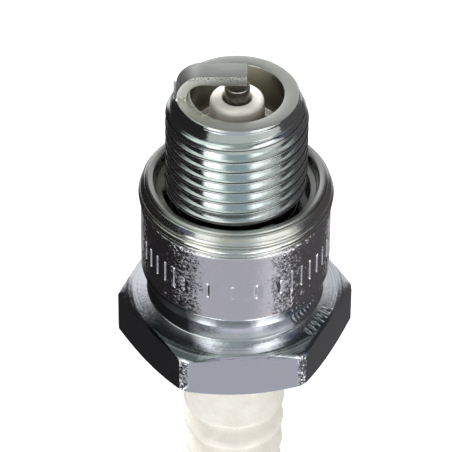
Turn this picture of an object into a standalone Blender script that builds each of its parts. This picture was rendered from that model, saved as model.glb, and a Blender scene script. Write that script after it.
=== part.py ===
"""Spark plug with an M14 x 1.25 thread, a 12.7 mm class reach and a 20.8 mm hexagon.

Frame: metres. The origin is on the plug's axis, in the plane of the sealing gasket's upper face, the
face that the cylinder head presses on. +Z runs along the axis towards the electrodes. Two flats of
the hexagon face +Y and -Y, and the ground electrode's foot stands on the -X side of the shell.

Each physical piece is one object. Neighbours that touch on the real plug stand CLEARANCE apart.
"""

import math

import bmesh
import bpy
from mathutils import Matrix, Vector

MM = 0.001
CLEARANCE = 0.3 * MM
ROUND = 40                      # steps in a full turn of the larger turned pieces
ROUND_SMALL = 24                # steps in a full turn of the slim inner pieces

# Shell, outside. Heights are along Z from the gasket's upper face.
END_Z = 10.4 * MM               # ring face at the firing end
PILOT_R = 6.05 * MM
PILOT_LENGTH = 0.4 * MM
THREAD_R = 6.95 * MM
ROOT_R = 6.1 * MM
PITCH = 1.25 * MM
CREST_WIDTH = 0.24 * MM
CREST_Z = 5.93 * MM             # height of one crest at the angle below
CREST_ANGLE = math.radians(-94.8)
THREAD_START_LENGTH = 2.0 * MM  # tapered lead-in, from the pilot to the full thread
RELIEF_TOP_Z = -1.2 * MM        # plain neck that holds the gasket
RELIEF_R = 5.95 * MM
SHOULDER_Z = -2.57 * MM         # flange that the gasket rests on
COLLAR_R = 9.36 * MM
COLLAR_END_Z = -10.6 * MM       # the collar starts to draw in here
COLLAR_FOOT_R = 8.9 * MM
COLLAR_FOOT_Z = -11.95 * MM
NECK_R = 8.71 * MM
HEX_TOP_Z = -13.75 * MM
HEX_BOTTOM_Z = -19.79 * MM
HEX_ACROSS_FLATS = 20.8 * MM
HEX_CORNER_R = 11.74 * MM       # the bar was turned to this radius, so the corners are blunt
HEX_CHAMFER_R = 10.3 * MM
HEX_TOP_SLOPE = 0.25            # height per radius on the ring inside the chamfer
HEX_CHAMFER_SLOPE = 0.51
CRIMP_R = 7.9 * MM
CRIMP_EDGE_R = 1.3 * MM
CRIMP_END_Z = -22.0 * MM

# Shell, inside.
BORE_R = 4.5 * MM
SEAT_RING_R = 3.7 * MM          # narrow ring that carries the insulator
SEAT_RING_TOP_Z = 5.8 * MM
SEAT_RING_BOTTOM_Z = 1.7 * MM
SEAT_SLOPE = -0.61              # height per radius on the conical seat
CAVITY_R = 4.85 * MM
CAVITY_END_Z = -5.6 * MM
CHAMBER_R = 6.75 * MM
CHAMBER_TOP_Z = -6.7 * MM
LIP_EDGE_R = 0.9 * MM           # inner rounding of the rolled-over lip

# Ground electrode, a flat bar welded to the end face and bent over the axis.
BAR_WIDTH = 2.44 * MM
BAR_THICKNESS = 1.1 * MM
BAR_OUTER_R = 5.9 * MM
BAR_TOP_Z = 13.2 * MM
BAR_TIP_X = 0.9 * MM
BAR_BEND_R = 1.5 * MM           # inner radius of the bend
BAR_TURN = math.radians(-4.82)  # the bar's plane about Z, from the X axis

# Centre line pieces.
ELECTRODE_R = 1.23 * MM
ELECTRODE_TIP_Z = 11.37 * MM
HEAD_R = 1.85 * MM
HEAD_TOP_Z = -1.3 * MM
HEAD_BOTTOM_Z = -3.3 * MM
HEAD_TAPER_LENGTH = 0.5 * MM
CORE_R = 0.55 * MM
CORE_POINT_LENGTH = 0.3 * MM
CORE_DEPTH = 2.0 * MM           # from the electrode's tip to the hollow's point
NOSE_TIP_Z = 9.97 * MM
NOSE_HOLE_R = 1.42 * MM
NOSE_TIP_FLAT_R = 2.0 * MM
NOSE_EDGE_R = 0.6 * MM
NOSE_SHANK_R = 2.8 * MM         # at the height below
NOSE_SHANK_Z = 5.9 * MM
NOSE_FOOT_Z = 2.8 * MM
INSULATOR_BORE_R = HEAD_R + CLEARANCE
INSULATOR_WAIST_R = 4.5 * MM
INSULATOR_WAIST_END_Z = -6.1 * MM
INSULATOR_BODY_R = 6.3 * MM
INSULATOR_BODY_TOP_Z = -7.6 * MM
INSULATOR_BODY_END_Z = -15.3 * MM
INSULATOR_NECK_R = 5.2 * MM
INSULATOR_END_R = 4.35 * MM
INSULATOR_END_EDGE_R = 0.5 * MM
INSULATOR_END_Z = -46.1 * MM
RIB_COUNT = 5
RIB_PITCH = 3.0 * MM
RIB_DEPTH = 0.75 * MM
RIB_NARROWING = 0.35 * MM
RIBS_START_Z = -28.4 * MM
RESISTOR_LENGTH = 8.0 * MM
LOWER_SEAL_LENGTH = 3.4 * MM
UPPER_SEAL_LENGTH = 2.0 * MM
STUD_THREAD_R = 1.95 * MM
STUD_END_Z = -54.3 * MM
STUD_FLANGE_R = 2.9 * MM
STUD_FLANGE_THICKNESS = 0.7 * MM
STUD_GROOVE_COUNT = 4
STUD_GROOVE_SPACING = 1.0 * MM
STUD_GROOVE_DEPTH = 0.25 * MM

# Terminal nut, 6.35 mm across.
NUT_R = 3.175 * MM
NUT_WAIST_R = 2.75 * MM
NUT_FOOT_R = 3.3 * MM
NUT_FOOT_LENGTH = 1.5 * MM
NUT_WAIST_LENGTH = 1.4 * MM
NUT_TAPER_LENGTH = 0.5 * MM     # between foot and waist, and between waist and barrel
NUT_CAP_LENGTH = 0.9 * MM
NUT_CAP_R = 2.3 * MM
NUT_END_Z = -55.57 * MM
NUT_RUNNING_GAP = 0.1 * MM
NUT_BORE_CONE_DEPTH = 0.25 * MM
NUT_BORE_CHAMFER = 0.3 * MM

# Gasket, a folded steel crush ring, not yet crushed.
GASKET_R = 9.6 * MM
GASKET_LIP_OUTER_R = 8.65 * MM
GASKET_LIP_INNER_R = 8.2 * MM
GASKET_INNER_R = 7.25 * MM
GASKET_LEDGE_Z = -1.2 * MM      # inner ledge, and the crease under the bead
GASKET_BEAD_R = 0.75 * MM
TAB_COUNT = 3
TAB_TIP_R = 6.6 * MM
TAB_WIDTH = 1.8 * MM
TAB_THICKNESS = 0.4 * MM
TAB_ANGLE = math.radians(172.0)

# Packing under and around the insulator.
WASHER_THICKNESS = 0.45 * MM
PACKING_WIRE_R = 0.4 * MM
PACKING_RING_R = 5.98 * MM
LOWER_PACKING_Z = -16.9 * MM
UPPER_PACKING_Z = -20.3 * MM

parts = None
cutters = None


def clear_scene():
    for old in list(bpy.data.objects):
        bpy.data.objects.remove(old, do_unlink=True)


def new_collection(name):
    collection = bpy.data.collections.new(name)
    bpy.context.scene.collection.children.link(collection)
    return collection


def material(name, colour, roughness, metallic):
    made = bpy.data.materials.new(name)
    made.use_nodes = True
    shader = made.node_tree.nodes["Principled BSDF"]
    shader.inputs["Base Color"].default_value = (*colour, 1.0)
    shader.inputs["Roughness"].default_value = roughness
    shader.inputs["Metallic"].default_value = metallic
    return made


def place(name, mesh, collection):
    """A new object for a mesh, in the parts or the cutters collection."""
    thing = bpy.data.objects.new(name, mesh)
    collection.objects.link(thing)
    if collection is cutters:
        thing.hide_render = True
        thing.display_type = "WIRE"
    return thing


def finish(thing, look):
    """Give a piece its material and smooth shading that breaks at real edges."""
    thing.data.materials.clear()
    thing.data.materials.append(look)
    thing.data.shade_smooth()
    thing.data.set_sharp_from_angle(angle=math.radians(35))


def turned(name, profile, collection, steps=ROUND, closed=False):
    """Revolve (radius, height) points about Z. The outer side of the profile runs top to bottom.
    An open profile starts and ends on the axis, and a closed one is a ring's section."""
    mesh = bpy.data.meshes.new(name)
    points = [(radius, 0.0, height) for radius, height in profile]
    edges = [(i, i + 1) for i in range(len(points) - 1)]
    if closed:
        edges.append((len(points) - 1, 0))
    mesh.from_pydata(points, edges, [])
    thing = place(name, mesh, collection)
    screw = thing.modifiers.new("turn", "SCREW")
    screw.axis = "Z"
    screw.angle = math.tau
    screw.steps = steps
    screw.render_steps = steps
    screw.use_merge_vertices = True
    screw.merge_threshold = 0.000001
    return thing


def boolean(thing, other, operation):
    cut = thing.modifiers.new(operation.lower(), "BOOLEAN")
    cut.operation = operation
    cut.solver = "EXACT"
    cut.object = other
    return cut


def applied(thing):
    """Replace a thing's mesh by its evaluated mesh, and drop its modifiers."""
    evaluated = thing.evaluated_get(bpy.context.evaluated_depsgraph_get())
    mesh = bpy.data.meshes.new_from_object(evaluated)
    thing.modifiers.clear()
    thing.data = mesh
    return thing


def arc(centre_r, centre_z, radius, start, end, steps):
    """Points of a round stretch of a profile, by angle in degrees from +radius towards +height."""
    points = []
    for i in range(steps + 1):
        angle = math.radians(start + (end - start) * i / steps)
        points.append((centre_r + radius * math.cos(angle), centre_z + radius * math.sin(angle)))
    return points


def seat_height(radius):
    """Height of the shell's conical seat at a radius."""
    return SEAT_RING_BOTTOM_Z + SEAT_SLOPE * (radius - SEAT_RING_R)


# ---- metal shell ----

def shell_blank():
    """The shell's turned outside as a solid, with the thread's root but without thread or hexagon."""
    edge = 0.15 * MM
    profile = [(0.0, END_Z), (PILOT_R - edge, END_Z), (PILOT_R, END_Z - edge)]
    profile += [(PILOT_R, END_Z - PILOT_LENGTH), (ROOT_R, END_Z - PILOT_LENGTH - edge)]
    profile += [(ROOT_R, RELIEF_TOP_Z + edge), (RELIEF_R, RELIEF_TOP_Z), (RELIEF_R, SHOULDER_Z)]
    profile += arc(COLLAR_R - edge, SHOULDER_Z - edge, edge, 90, 0, 2)
    profile += [(COLLAR_R, COLLAR_END_Z), (COLLAR_FOOT_R, COLLAR_FOOT_Z), (NECK_R, HEX_TOP_Z)]
    profile += [(NECK_R, HEX_BOTTOM_Z), (CRIMP_R, HEX_BOTTOM_Z - 0.3 * MM)]
    profile += arc(CRIMP_R - CRIMP_EDGE_R, CRIMP_END_Z + CRIMP_EDGE_R, CRIMP_EDGE_R, 0, -90, 4)
    profile += [(0.0, CRIMP_END_Z)]
    return turned("metal_shell", profile, parts)


def hexagon():
    """A hexagonal bar cut to a turned outline: blunt corners and 30 degree chamfers at both ends."""
    mesh = bpy.data.meshes.new("hex_bar")
    made = bmesh.new()
    height = HEX_TOP_Z - HEX_BOTTOM_Z + 2 * MM
    corner_r = HEX_ACROSS_FLATS / math.sqrt(3)
    bmesh.ops.create_cone(made, cap_ends=True, segments=6, radius1=corner_r, radius2=corner_r,
                          depth=height, matrix=Matrix.Rotation(math.radians(90), 4, "Z"))
    centre_z = (HEX_TOP_Z + HEX_BOTTOM_Z) / 2
    bmesh.ops.translate(made, verts=made.verts, vec=(0.0, 0.0, centre_z))
    made.to_mesh(mesh)
    made.free()
    bar = place("hex_bar", mesh, cutters)
    # The hexagon's ends dip inside the neck, so that no face there lies in a face of the blank.
    ring_drop = HEX_TOP_SLOPE * (HEX_CHAMFER_R - NECK_R)
    drop = ring_drop + HEX_CHAMFER_SLOPE * (HEX_CORNER_R - HEX_CHAMFER_R)
    start_r = NECK_R - 0.1 * MM
    inside = NECK_R - 0.6 * MM
    profile = [(0.0, HEX_TOP_Z - ring_drop), (inside, HEX_TOP_Z - ring_drop), (start_r, HEX_TOP_Z)]
    profile += [(HEX_CHAMFER_R, HEX_TOP_Z - ring_drop), (HEX_CORNER_R, HEX_TOP_Z - drop)]
    profile += [(HEX_CORNER_R, HEX_BOTTOM_Z + drop), (HEX_CHAMFER_R, HEX_BOTTOM_Z + ring_drop)]
    profile += [(start_r, HEX_BOTTOM_Z), (inside, HEX_BOTTOM_Z + ring_drop)]
    profile += [(0.0, HEX_BOTTOM_Z + ring_drop)]
    outline = turned("hex_outline", profile, cutters, steps=60)
    boolean(bar, outline, "INTERSECT")
    return bar


def thread_ridge():
    """The helical ridge of the thread, trimmed to the tapered lead-in and the relief."""
    dip = 0.2 * MM
    half_crest = CREST_WIDTH / 2
    half_base = half_crest + (THREAD_R - ROOT_R) * math.tan(math.radians(30))
    section = [(ROOT_R - dip, half_base), (ROOT_R, half_base), (THREAD_R, half_crest)]
    section += [(THREAD_R, -half_crest), (ROOT_R, -half_base), (ROOT_R - dip, -half_base)]
    top_z = END_Z - PILOT_LENGTH + PITCH
    turns = math.ceil((top_z - RELIEF_TOP_Z) / PITCH) + 1
    # The sweep starts on the +X side, so its height there follows from the crest's height elsewhere.
    lead = CREST_Z - PITCH * CREST_ANGLE / math.tau
    start_z = lead - PITCH * math.ceil((lead - RELIEF_TOP_Z) / PITCH + 1)
    mesh = bpy.data.meshes.new("thread_ridge")
    points = [(radius, 0.0, start_z + height) for radius, height in section]
    edges = [(i, (i + 1) % len(points)) for i in range(len(points))]
    mesh.from_pydata(points, edges, [])
    ridge = place("thread_ridge", mesh, cutters)
    sweep = ridge.modifiers.new("sweep", "SCREW")
    sweep.axis = "Z"
    sweep.angle = math.tau
    sweep.screw_offset = PITCH
    sweep.iterations = turns + 1
    sweep.steps = ROUND
    sweep.render_steps = ROUND
    applied(ridge)
    close_ends(ridge.data)
    boolean(ridge, thread_outline(), "INTERSECT")
    return ridge


def close_ends(mesh):
    """Cap the open ends of a swept tube and turn its faces outwards."""
    made = bmesh.new()
    made.from_mesh(mesh)
    bmesh.ops.remove_doubles(made, verts=made.verts, dist=0.0000001)
    bmesh.ops.holes_fill(made, edges=[edge for edge in made.edges if edge.is_boundary])
    bmesh.ops.recalc_face_normals(made, faces=made.faces)
    made.to_mesh(mesh)
    made.free()


def thread_outline():
    """The solid that the thread's crests reach: a cone over the lead-in, then a cylinder."""
    start = END_Z - PILOT_LENGTH - 0.1 * MM
    inside = ROOT_R - 0.1 * MM
    runout = 0.3 * MM
    beyond = THREAD_R + 0.2 * MM
    slope = (THREAD_R - PILOT_R) / THREAD_START_LENGTH
    profile = [(0.0, start), (inside, start), (PILOT_R, start - 0.05 * MM)]
    profile += [(beyond, start - (beyond - PILOT_R) / slope), (beyond, RELIEF_TOP_Z + 2 * runout)]
    profile += [(inside, RELIEF_TOP_Z + 0.2 * MM), (0.0, RELIEF_TOP_Z + 0.2 * MM)]
    return turned("thread_outline", profile, cutters)


def shell_bore():
    """Everything that the insulator and its packing take up inside the shell."""
    edge = 0.15 * MM
    lip_r = INSULATOR_NECK_R + CLEARANCE
    above = END_Z + 1 * MM
    below = CRIMP_END_Z - 1 * MM
    profile = [(0.0, above), (BORE_R + edge, above), (BORE_R + edge, END_Z), (BORE_R, END_Z - edge)]
    profile += [(BORE_R, SEAT_RING_TOP_Z), (SEAT_RING_R, SEAT_RING_TOP_Z - 0.25 * MM)]
    profile += [(SEAT_RING_R, SEAT_RING_BOTTOM_Z), (CAVITY_R, seat_height(CAVITY_R))]
    profile += [(CAVITY_R, CAVITY_END_Z), (CHAMBER_R, CHAMBER_TOP_Z), (CHAMBER_R, UPPER_PACKING_Z)]
    profile += arc(CHAMBER_R - LIP_EDGE_R, UPPER_PACKING_Z, LIP_EDGE_R, -20, -90, 3)
    profile += [(lip_r, UPPER_PACKING_Z - LIP_EDGE_R), (lip_r, below), (0.0, below)]
    return turned("shell_bore", profile, cutters)


def make_shell(look):
    shell = shell_blank()
    boolean(shell, hexagon(), "UNION")
    boolean(shell, thread_ridge(), "UNION")
    boolean(shell, shell_bore(), "DIFFERENCE")
    applied(shell)
    finish(shell, look)


# ---- electrodes ----

def make_ground_electrode(look):
    """The bar's side outline, extruded to its width and turned into place."""
    foot_z = END_Z + CLEARANCE
    inner_x = -BAR_OUTER_R + BAR_THICKNESS
    under_z = BAR_TOP_Z - BAR_THICKNESS
    bend_r = BAR_BEND_R + BAR_THICKNESS
    outline = [(inner_x, foot_z), (-BAR_OUTER_R, foot_z)]
    outline += arc(-BAR_OUTER_R + bend_r, BAR_TOP_Z - bend_r, bend_r, 180, 90, 8)
    outline += [(BAR_TIP_X, BAR_TOP_Z), (BAR_TIP_X, under_z)]
    outline += arc(inner_x + BAR_BEND_R, under_z - BAR_BEND_R, BAR_BEND_R, 90, 180, 8)
    curve = bpy.data.curves.new("bar_outline", "CURVE")
    curve.dimensions = "2D"
    curve.fill_mode = "BOTH"
    curve.extrude = BAR_WIDTH / 2
    spline = curve.splines.new("POLY")
    spline.points.add(len(outline) - 1)
    for point, (x, z) in zip(spline.points, outline):
        point.co = (x, z, 0.0, 1.0)
    spline.use_cyclic_u = True
    flat = bpy.data.objects.new("bar_outline", curve)
    parts.objects.link(flat)
    flat.matrix_world = Matrix.Rotation(BAR_TURN, 4, "Z") @ Matrix.Rotation(math.radians(90), 4, "X")
    bpy.context.view_layer.update()
    bar = from_curve(flat, "ground_electrode")
    rounding = bar.modifiers.new("edges", "BEVEL")
    rounding.width = 0.2 * MM
    rounding.segments = 2
    rounding.limit_method = "ANGLE"
    rounding.angle_limit = math.radians(40)
    finish(bar, look)


def from_curve(flat, name):
    """A mesh piece in place of a curve, with the curve's caps welded to its sides."""
    evaluated = flat.evaluated_get(bpy.context.evaluated_depsgraph_get())
    mesh = bpy.data.meshes.new_from_object(evaluated)
    made = bmesh.new()
    made.from_mesh(mesh)
    bmesh.ops.remove_doubles(made, verts=made.verts, dist=0.000001)
    bmesh.ops.recalc_face_normals(made, faces=made.faces)
    made.to_mesh(mesh)
    made.free()
    thing = place(name, mesh, parts)
    thing.matrix_world = flat.matrix_world.copy()
    bpy.data.objects.remove(flat, do_unlink=True)
    return thing


def make_center_electrode(look):
    """A nickel jacket: a closed firing end, a head that seats in the insulator, and a hollow for copper."""
    edge = 0.06 * MM
    hollow_r = CORE_R + CLEARANCE
    hollow_top_z = ELECTRODE_TIP_Z - CORE_DEPTH
    profile = [(0.0, ELECTRODE_TIP_Z), (ELECTRODE_R - edge, ELECTRODE_TIP_Z)]
    profile += [(ELECTRODE_R, ELECTRODE_TIP_Z - edge), (ELECTRODE_R, HEAD_TOP_Z + HEAD_TAPER_LENGTH)]
    profile += [(HEAD_R, HEAD_TOP_Z), (HEAD_R, HEAD_BOTTOM_Z), (hollow_r, HEAD_BOTTOM_Z)]
    profile += [(hollow_r, hollow_top_z - CORE_POINT_LENGTH), (0.0, hollow_top_z)]
    finish(turned("center_electrode", profile, parts, ROUND_SMALL), look)


def make_electrode_core(look):
    top_z = ELECTRODE_TIP_Z - CORE_DEPTH - CLEARANCE
    profile = [(0.0, top_z), (CORE_R, top_z - CORE_POINT_LENGTH), (CORE_R, HEAD_BOTTOM_Z + CLEARANCE)]
    profile += [(0.0, HEAD_BOTTOM_Z + CLEARANCE)]
    finish(turned("electrode_core", profile, parts, ROUND_SMALL), look)


# ---- insulator ----

def rib_profile():
    """Rounded ribs: the outline dips between them, and narrows a little towards the terminal."""
    points = []
    samples = 4
    for i in range(RIB_COUNT * samples + 1):
        along = i / samples
        dip = RIB_DEPTH * (1 - math.cos(math.tau * along)) / 2
        shrink = RIB_NARROWING * along / RIB_COUNT
        points.append((INSULATOR_NECK_R - shrink - dip, RIBS_START_Z - along * RIB_PITCH))
    return points


def make_insulator(look):
    """A closed ring section: nose, seat, waist, body and ribbed neck outside, a stepped bore inside."""
    seat_drop = (2 * CLEARANCE + WASHER_THICKNESS) * math.hypot(1.0, SEAT_SLOPE)
    nose_foot_r = SEAT_RING_R - CLEARANCE - 0.05 * MM
    body_taper = INSULATOR_BODY_R - INSULATOR_NECK_R
    ribs_end_z = RIBS_START_Z - RIB_COUNT * RIB_PITCH
    end_edge_z = INSULATOR_END_Z + INSULATOR_END_EDGE_R
    head_step_z = HEAD_TOP_Z + CLEARANCE
    profile = [(NOSE_HOLE_R, NOSE_TIP_Z), (NOSE_TIP_FLAT_R, NOSE_TIP_Z)]
    profile += arc(NOSE_TIP_FLAT_R, NOSE_TIP_Z - NOSE_EDGE_R, NOSE_EDGE_R, 60, 0, 3)
    profile += [(NOSE_SHANK_R, NOSE_SHANK_Z), (nose_foot_r, NOSE_FOOT_Z)]
    profile += [(nose_foot_r, seat_height(nose_foot_r) - seat_drop)]
    profile += [(INSULATOR_WAIST_R, seat_height(INSULATOR_WAIST_R) - seat_drop)]
    profile += [(INSULATOR_WAIST_R, INSULATOR_WAIST_END_Z), (INSULATOR_BODY_R, INSULATOR_BODY_TOP_Z)]
    profile += [(INSULATOR_BODY_R, INSULATOR_BODY_END_Z)]
    profile += [(INSULATOR_NECK_R, INSULATOR_BODY_END_Z - 0.8 * body_taper)]
    profile += rib_profile()
    profile += [(INSULATOR_END_R, ribs_end_z - 0.8 * MM)]
    profile += arc(INSULATOR_END_R - INSULATOR_END_EDGE_R, end_edge_z, INSULATOR_END_EDGE_R, 0, -90, 3)
    profile += [(INSULATOR_BORE_R, INSULATOR_END_Z), (INSULATOR_BORE_R, head_step_z)]
    profile += [(NOSE_HOLE_R + 0.1 * MM, head_step_z + HEAD_TAPER_LENGTH + 0.05 * MM)]
    finish(turned("insulator", profile, parts, closed=True), look)


# ---- conductor chain inside the insulator ----

def rod(name, top_z, length, look):
    """A plain rod in the insulator's bore, with small edge chamfers."""
    edge = 0.15 * MM
    bottom_z = top_z - length
    profile = [(0.0, top_z), (HEAD_R - edge, top_z), (HEAD_R, top_z - edge)]
    profile += [(HEAD_R, bottom_z + edge), (HEAD_R - edge, bottom_z), (0.0, bottom_z)]
    finish(turned(name, profile, parts, ROUND_SMALL), look)
    return bottom_z - CLEARANCE


def make_inner_chain(seal_look, resistor_look):
    """Glass seal, resistor and glass seal, from the electrode's head down. Returns where they end."""
    next_z = HEAD_BOTTOM_Z - CLEARANCE
    next_z = rod("lower_glass_seal", next_z, LOWER_SEAL_LENGTH, seal_look)
    next_z = rod("resistor", next_z, RESISTOR_LENGTH, resistor_look)
    return rod("upper_glass_seal", next_z, UPPER_SEAL_LENGTH, seal_look)


def make_terminal_stud(top_z, look):
    """The long steel stud: a grooved end for the glass, a shank, a flange and the terminal thread."""
    waist_r = HEAD_R - STUD_GROOVE_DEPTH
    half = STUD_GROOVE_SPACING / 2
    profile = [(0.0, top_z), (waist_r, top_z)]
    for i in range(STUD_GROOVE_COUNT):
        groove_z = top_z - half - STUD_GROOVE_SPACING * i
        profile += [(HEAD_R, groove_z + half / 2), (HEAD_R, groove_z), (waist_r, groove_z - half / 4)]
    grooves_end_z = top_z - half - STUD_GROOVE_SPACING * STUD_GROOVE_COUNT
    flange_z = INSULATOR_END_Z - CLEARANCE
    flange_bottom_z = flange_z - STUD_FLANGE_THICKNESS
    chamfer = 0.4 * MM
    profile += [(HEAD_R, grooves_end_z), (HEAD_R, flange_z), (STUD_FLANGE_R, flange_z)]
    profile += [(STUD_FLANGE_R, flange_bottom_z), (STUD_THREAD_R, flange_bottom_z)]
    profile += [(STUD_THREAD_R, STUD_END_Z + chamfer), (STUD_THREAD_R - chamfer, STUD_END_Z)]
    profile += [(0.0, STUD_END_Z)]
    finish(turned("terminal_stud", profile, parts, ROUND_SMALL), look)
    return flange_bottom_z


def make_terminal_nut(foot_z, look):
    """Foot, waist and barrel outside, and a blind hole for the stud."""
    edge = 0.2 * MM
    bore_r = STUD_THREAD_R + NUT_RUNNING_GAP
    bore_end_z = STUD_END_Z - CLEARANCE
    waist_z = foot_z - NUT_FOOT_LENGTH - NUT_TAPER_LENGTH
    barrel_z = waist_z - NUT_WAIST_LENGTH - NUT_TAPER_LENGTH
    profile = [(bore_r + NUT_BORE_CHAMFER, foot_z), (NUT_FOOT_R - edge, foot_z)]
    profile += [(NUT_FOOT_R, foot_z - edge), (NUT_FOOT_R, foot_z - NUT_FOOT_LENGTH)]
    profile += [(NUT_WAIST_R, waist_z), (NUT_WAIST_R, waist_z - NUT_WAIST_LENGTH), (NUT_R, barrel_z)]
    profile += [(NUT_R, NUT_END_Z + NUT_CAP_LENGTH), (NUT_CAP_R, NUT_END_Z), (0.0, NUT_END_Z)]
    profile += [(0.0, bore_end_z), (bore_r, bore_end_z + NUT_BORE_CONE_DEPTH)]
    profile += [(bore_r, foot_z - NUT_BORE_CHAMFER), profile[0]]
    finish(turned("terminal_nut", profile, parts, ROUND_SMALL), look)


# ---- gasket, washer and packing ----

def make_gasket(look):
    """The ring's folded section, and tabs that reach under the thread and keep the ring on the plug."""
    bottom_z = SHOULDER_Z + CLEARANCE
    profile = [(GASKET_LIP_INNER_R, 0.0), (GASKET_LIP_OUTER_R, 0.0)]
    profile += arc(GASKET_LIP_OUTER_R, -GASKET_BEAD_R, GASKET_BEAD_R, 80, 0, 3)
    profile += [(GASKET_R - 0.25 * MM, GASKET_LEDGE_Z)]
    profile += [(GASKET_R, -1.5 * MM), (GASKET_R, -1.95 * MM), (GASKET_R - 0.15 * MM, bottom_z)]
    profile += [(GASKET_INNER_R, bottom_z), (GASKET_INNER_R, GASKET_LEDGE_Z)]
    profile += [(GASKET_LIP_INNER_R - 0.35 * MM, GASKET_LEDGE_Z)]
    gasket = turned("sealing_gasket", profile, parts, closed=True)
    for i in range(TAB_COUNT):
        boolean(gasket, tab_block(i), "UNION")
    applied(gasket)
    finish(gasket, look)


def tab_block(index):
    """One staked tab, a small block that starts inside the ring's wall."""
    reach = GASKET_INNER_R - TAB_TIP_R + 0.5 * MM
    mesh = bpy.data.meshes.new(f"gasket_tab_{index}")
    made = bmesh.new()
    bmesh.ops.create_cube(made, size=1.0)
    bmesh.ops.scale(made, verts=made.verts, vec=(reach, TAB_WIDTH, TAB_THICKNESS))
    centre = Vector((TAB_TIP_R + reach / 2, 0.0, GASKET_LEDGE_Z - TAB_THICKNESS / 2 - 0.1 * MM))
    bmesh.ops.translate(made, verts=made.verts, vec=centre)
    turn = TAB_ANGLE + math.tau * index / TAB_COUNT
    bmesh.ops.rotate(made, verts=made.verts, matrix=Matrix.Rotation(turn, 3, "Z"))
    made.to_mesh(mesh)
    made.free()
    return place(f"gasket_tab_{index}", mesh, cutters)


def make_seat_washer(look):
    """A thin conical ring between the shell's seat and the insulator."""
    inner_r = SEAT_RING_R + 0.25 * MM
    outer_r = INSULATOR_WAIST_R
    tilt = math.hypot(1.0, SEAT_SLOPE)
    upper = CLEARANCE * tilt
    lower = upper + WASHER_THICKNESS * tilt
    profile = [(inner_r, seat_height(inner_r) - upper), (outer_r, seat_height(outer_r) - upper)]
    profile += [(outer_r, seat_height(outer_r) - lower), (inner_r, seat_height(inner_r) - lower)]
    finish(turned("seat_packing_washer", profile, parts, closed=True), look)


def make_packing_ring(name, centre_z, look):
    """A ring of round wire."""
    sides = 8
    points = arc(PACKING_RING_R, centre_z, PACKING_WIRE_R, 90, 90 - 360 * (sides - 1) / sides, sides - 1)
    finish(turned(name, points, parts, ROUND_SMALL, closed=True), look)


def make_talc(look):
    """The powder that is pressed between the two wire rings."""
    top_z = LOWER_PACKING_Z - PACKING_WIRE_R - CLEARANCE
    bottom_z = UPPER_PACKING_Z + PACKING_WIRE_R + CLEARANCE
    inner_r = INSULATOR_NECK_R + CLEARANCE
    outer_r = CHAMBER_R - CLEARANCE
    profile = [(inner_r, top_z), (outer_r, top_z), (outer_r, bottom_z), (inner_r, bottom_z)]
    finish(turned("talc_filling", profile, parts, closed=True), look)


def main():
    global parts, cutters
    clear_scene()
    parts = new_collection("spark_plug")
    cutters = new_collection("cutters")
    plated = material("plated_steel", (0.42, 0.43, 0.45), 0.34, 1.0)
    nickel = material("nickel_alloy", (0.36, 0.35, 0.32), 0.42, 1.0)
    ceramic = material("alumina", (0.86, 0.84, 0.79), 0.3, 0.0)
    copper = material("copper", (0.72, 0.38, 0.24), 0.4, 1.0)
    sealing = material("gasket_steel", (0.5, 0.49, 0.46), 0.36, 1.0)
    packing = material("packing_steel", (0.4, 0.4, 0.4), 0.45, 1.0)
    glass = material("seal_glass", (0.24, 0.2, 0.17), 0.5, 0.0)
    resistive = material("resistor_glass", (0.12, 0.12, 0.12), 0.6, 0.0)
    talc = material("talc", (0.88, 0.87, 0.84), 0.9, 0.0)
    make_shell(plated)
    make_ground_electrode(nickel)
    make_center_electrode(nickel)
    make_electrode_core(copper)
    make_insulator(ceramic)
    chain_end_z = make_inner_chain(glass, resistive)
    flange_bottom_z = make_terminal_stud(chain_end_z, packing)
    make_terminal_nut(flange_bottom_z - CLEARANCE, plated)
    make_gasket(sealing)
    make_seat_washer(packing)
    make_packing_ring("lower_packing_ring", LOWER_PACKING_Z, packing)
    make_packing_ring("upper_packing_ring", UPPER_PACKING_Z, packing)
    make_talc(talc)


main()
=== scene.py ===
"""The looks of the spark plug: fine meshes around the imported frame, metal and ceramic materials,
a plain pale floor and soft studio light, seen from above the firing end.

Everything is in metres in the frame's own axes: the plug's axis is Z, the electrodes are at the top,
and z = 0 is the gasket's upper face. Lengths below are written in millimetres times MM.
"""

import math
import random

import bmesh
import bpy
from mathutils import Matrix, Vector


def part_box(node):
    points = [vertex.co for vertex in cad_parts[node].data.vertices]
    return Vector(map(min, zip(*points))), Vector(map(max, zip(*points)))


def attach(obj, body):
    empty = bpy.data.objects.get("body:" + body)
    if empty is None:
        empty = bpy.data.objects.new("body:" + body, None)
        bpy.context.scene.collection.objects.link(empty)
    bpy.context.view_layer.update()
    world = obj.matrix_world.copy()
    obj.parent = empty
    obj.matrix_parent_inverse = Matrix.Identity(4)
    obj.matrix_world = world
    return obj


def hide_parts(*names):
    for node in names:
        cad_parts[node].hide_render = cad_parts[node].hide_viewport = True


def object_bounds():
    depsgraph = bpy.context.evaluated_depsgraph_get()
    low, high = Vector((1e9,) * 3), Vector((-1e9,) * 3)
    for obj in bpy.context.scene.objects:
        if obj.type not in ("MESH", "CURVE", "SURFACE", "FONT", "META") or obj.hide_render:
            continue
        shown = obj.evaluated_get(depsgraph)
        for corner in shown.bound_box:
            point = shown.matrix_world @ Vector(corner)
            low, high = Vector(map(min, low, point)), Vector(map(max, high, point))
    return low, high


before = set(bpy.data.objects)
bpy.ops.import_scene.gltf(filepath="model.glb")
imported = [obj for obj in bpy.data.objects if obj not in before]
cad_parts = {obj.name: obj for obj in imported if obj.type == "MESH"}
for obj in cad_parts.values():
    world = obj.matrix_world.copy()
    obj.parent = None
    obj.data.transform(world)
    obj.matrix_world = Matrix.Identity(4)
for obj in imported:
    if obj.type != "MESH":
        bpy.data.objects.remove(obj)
cad_low, cad_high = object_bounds()

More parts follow.
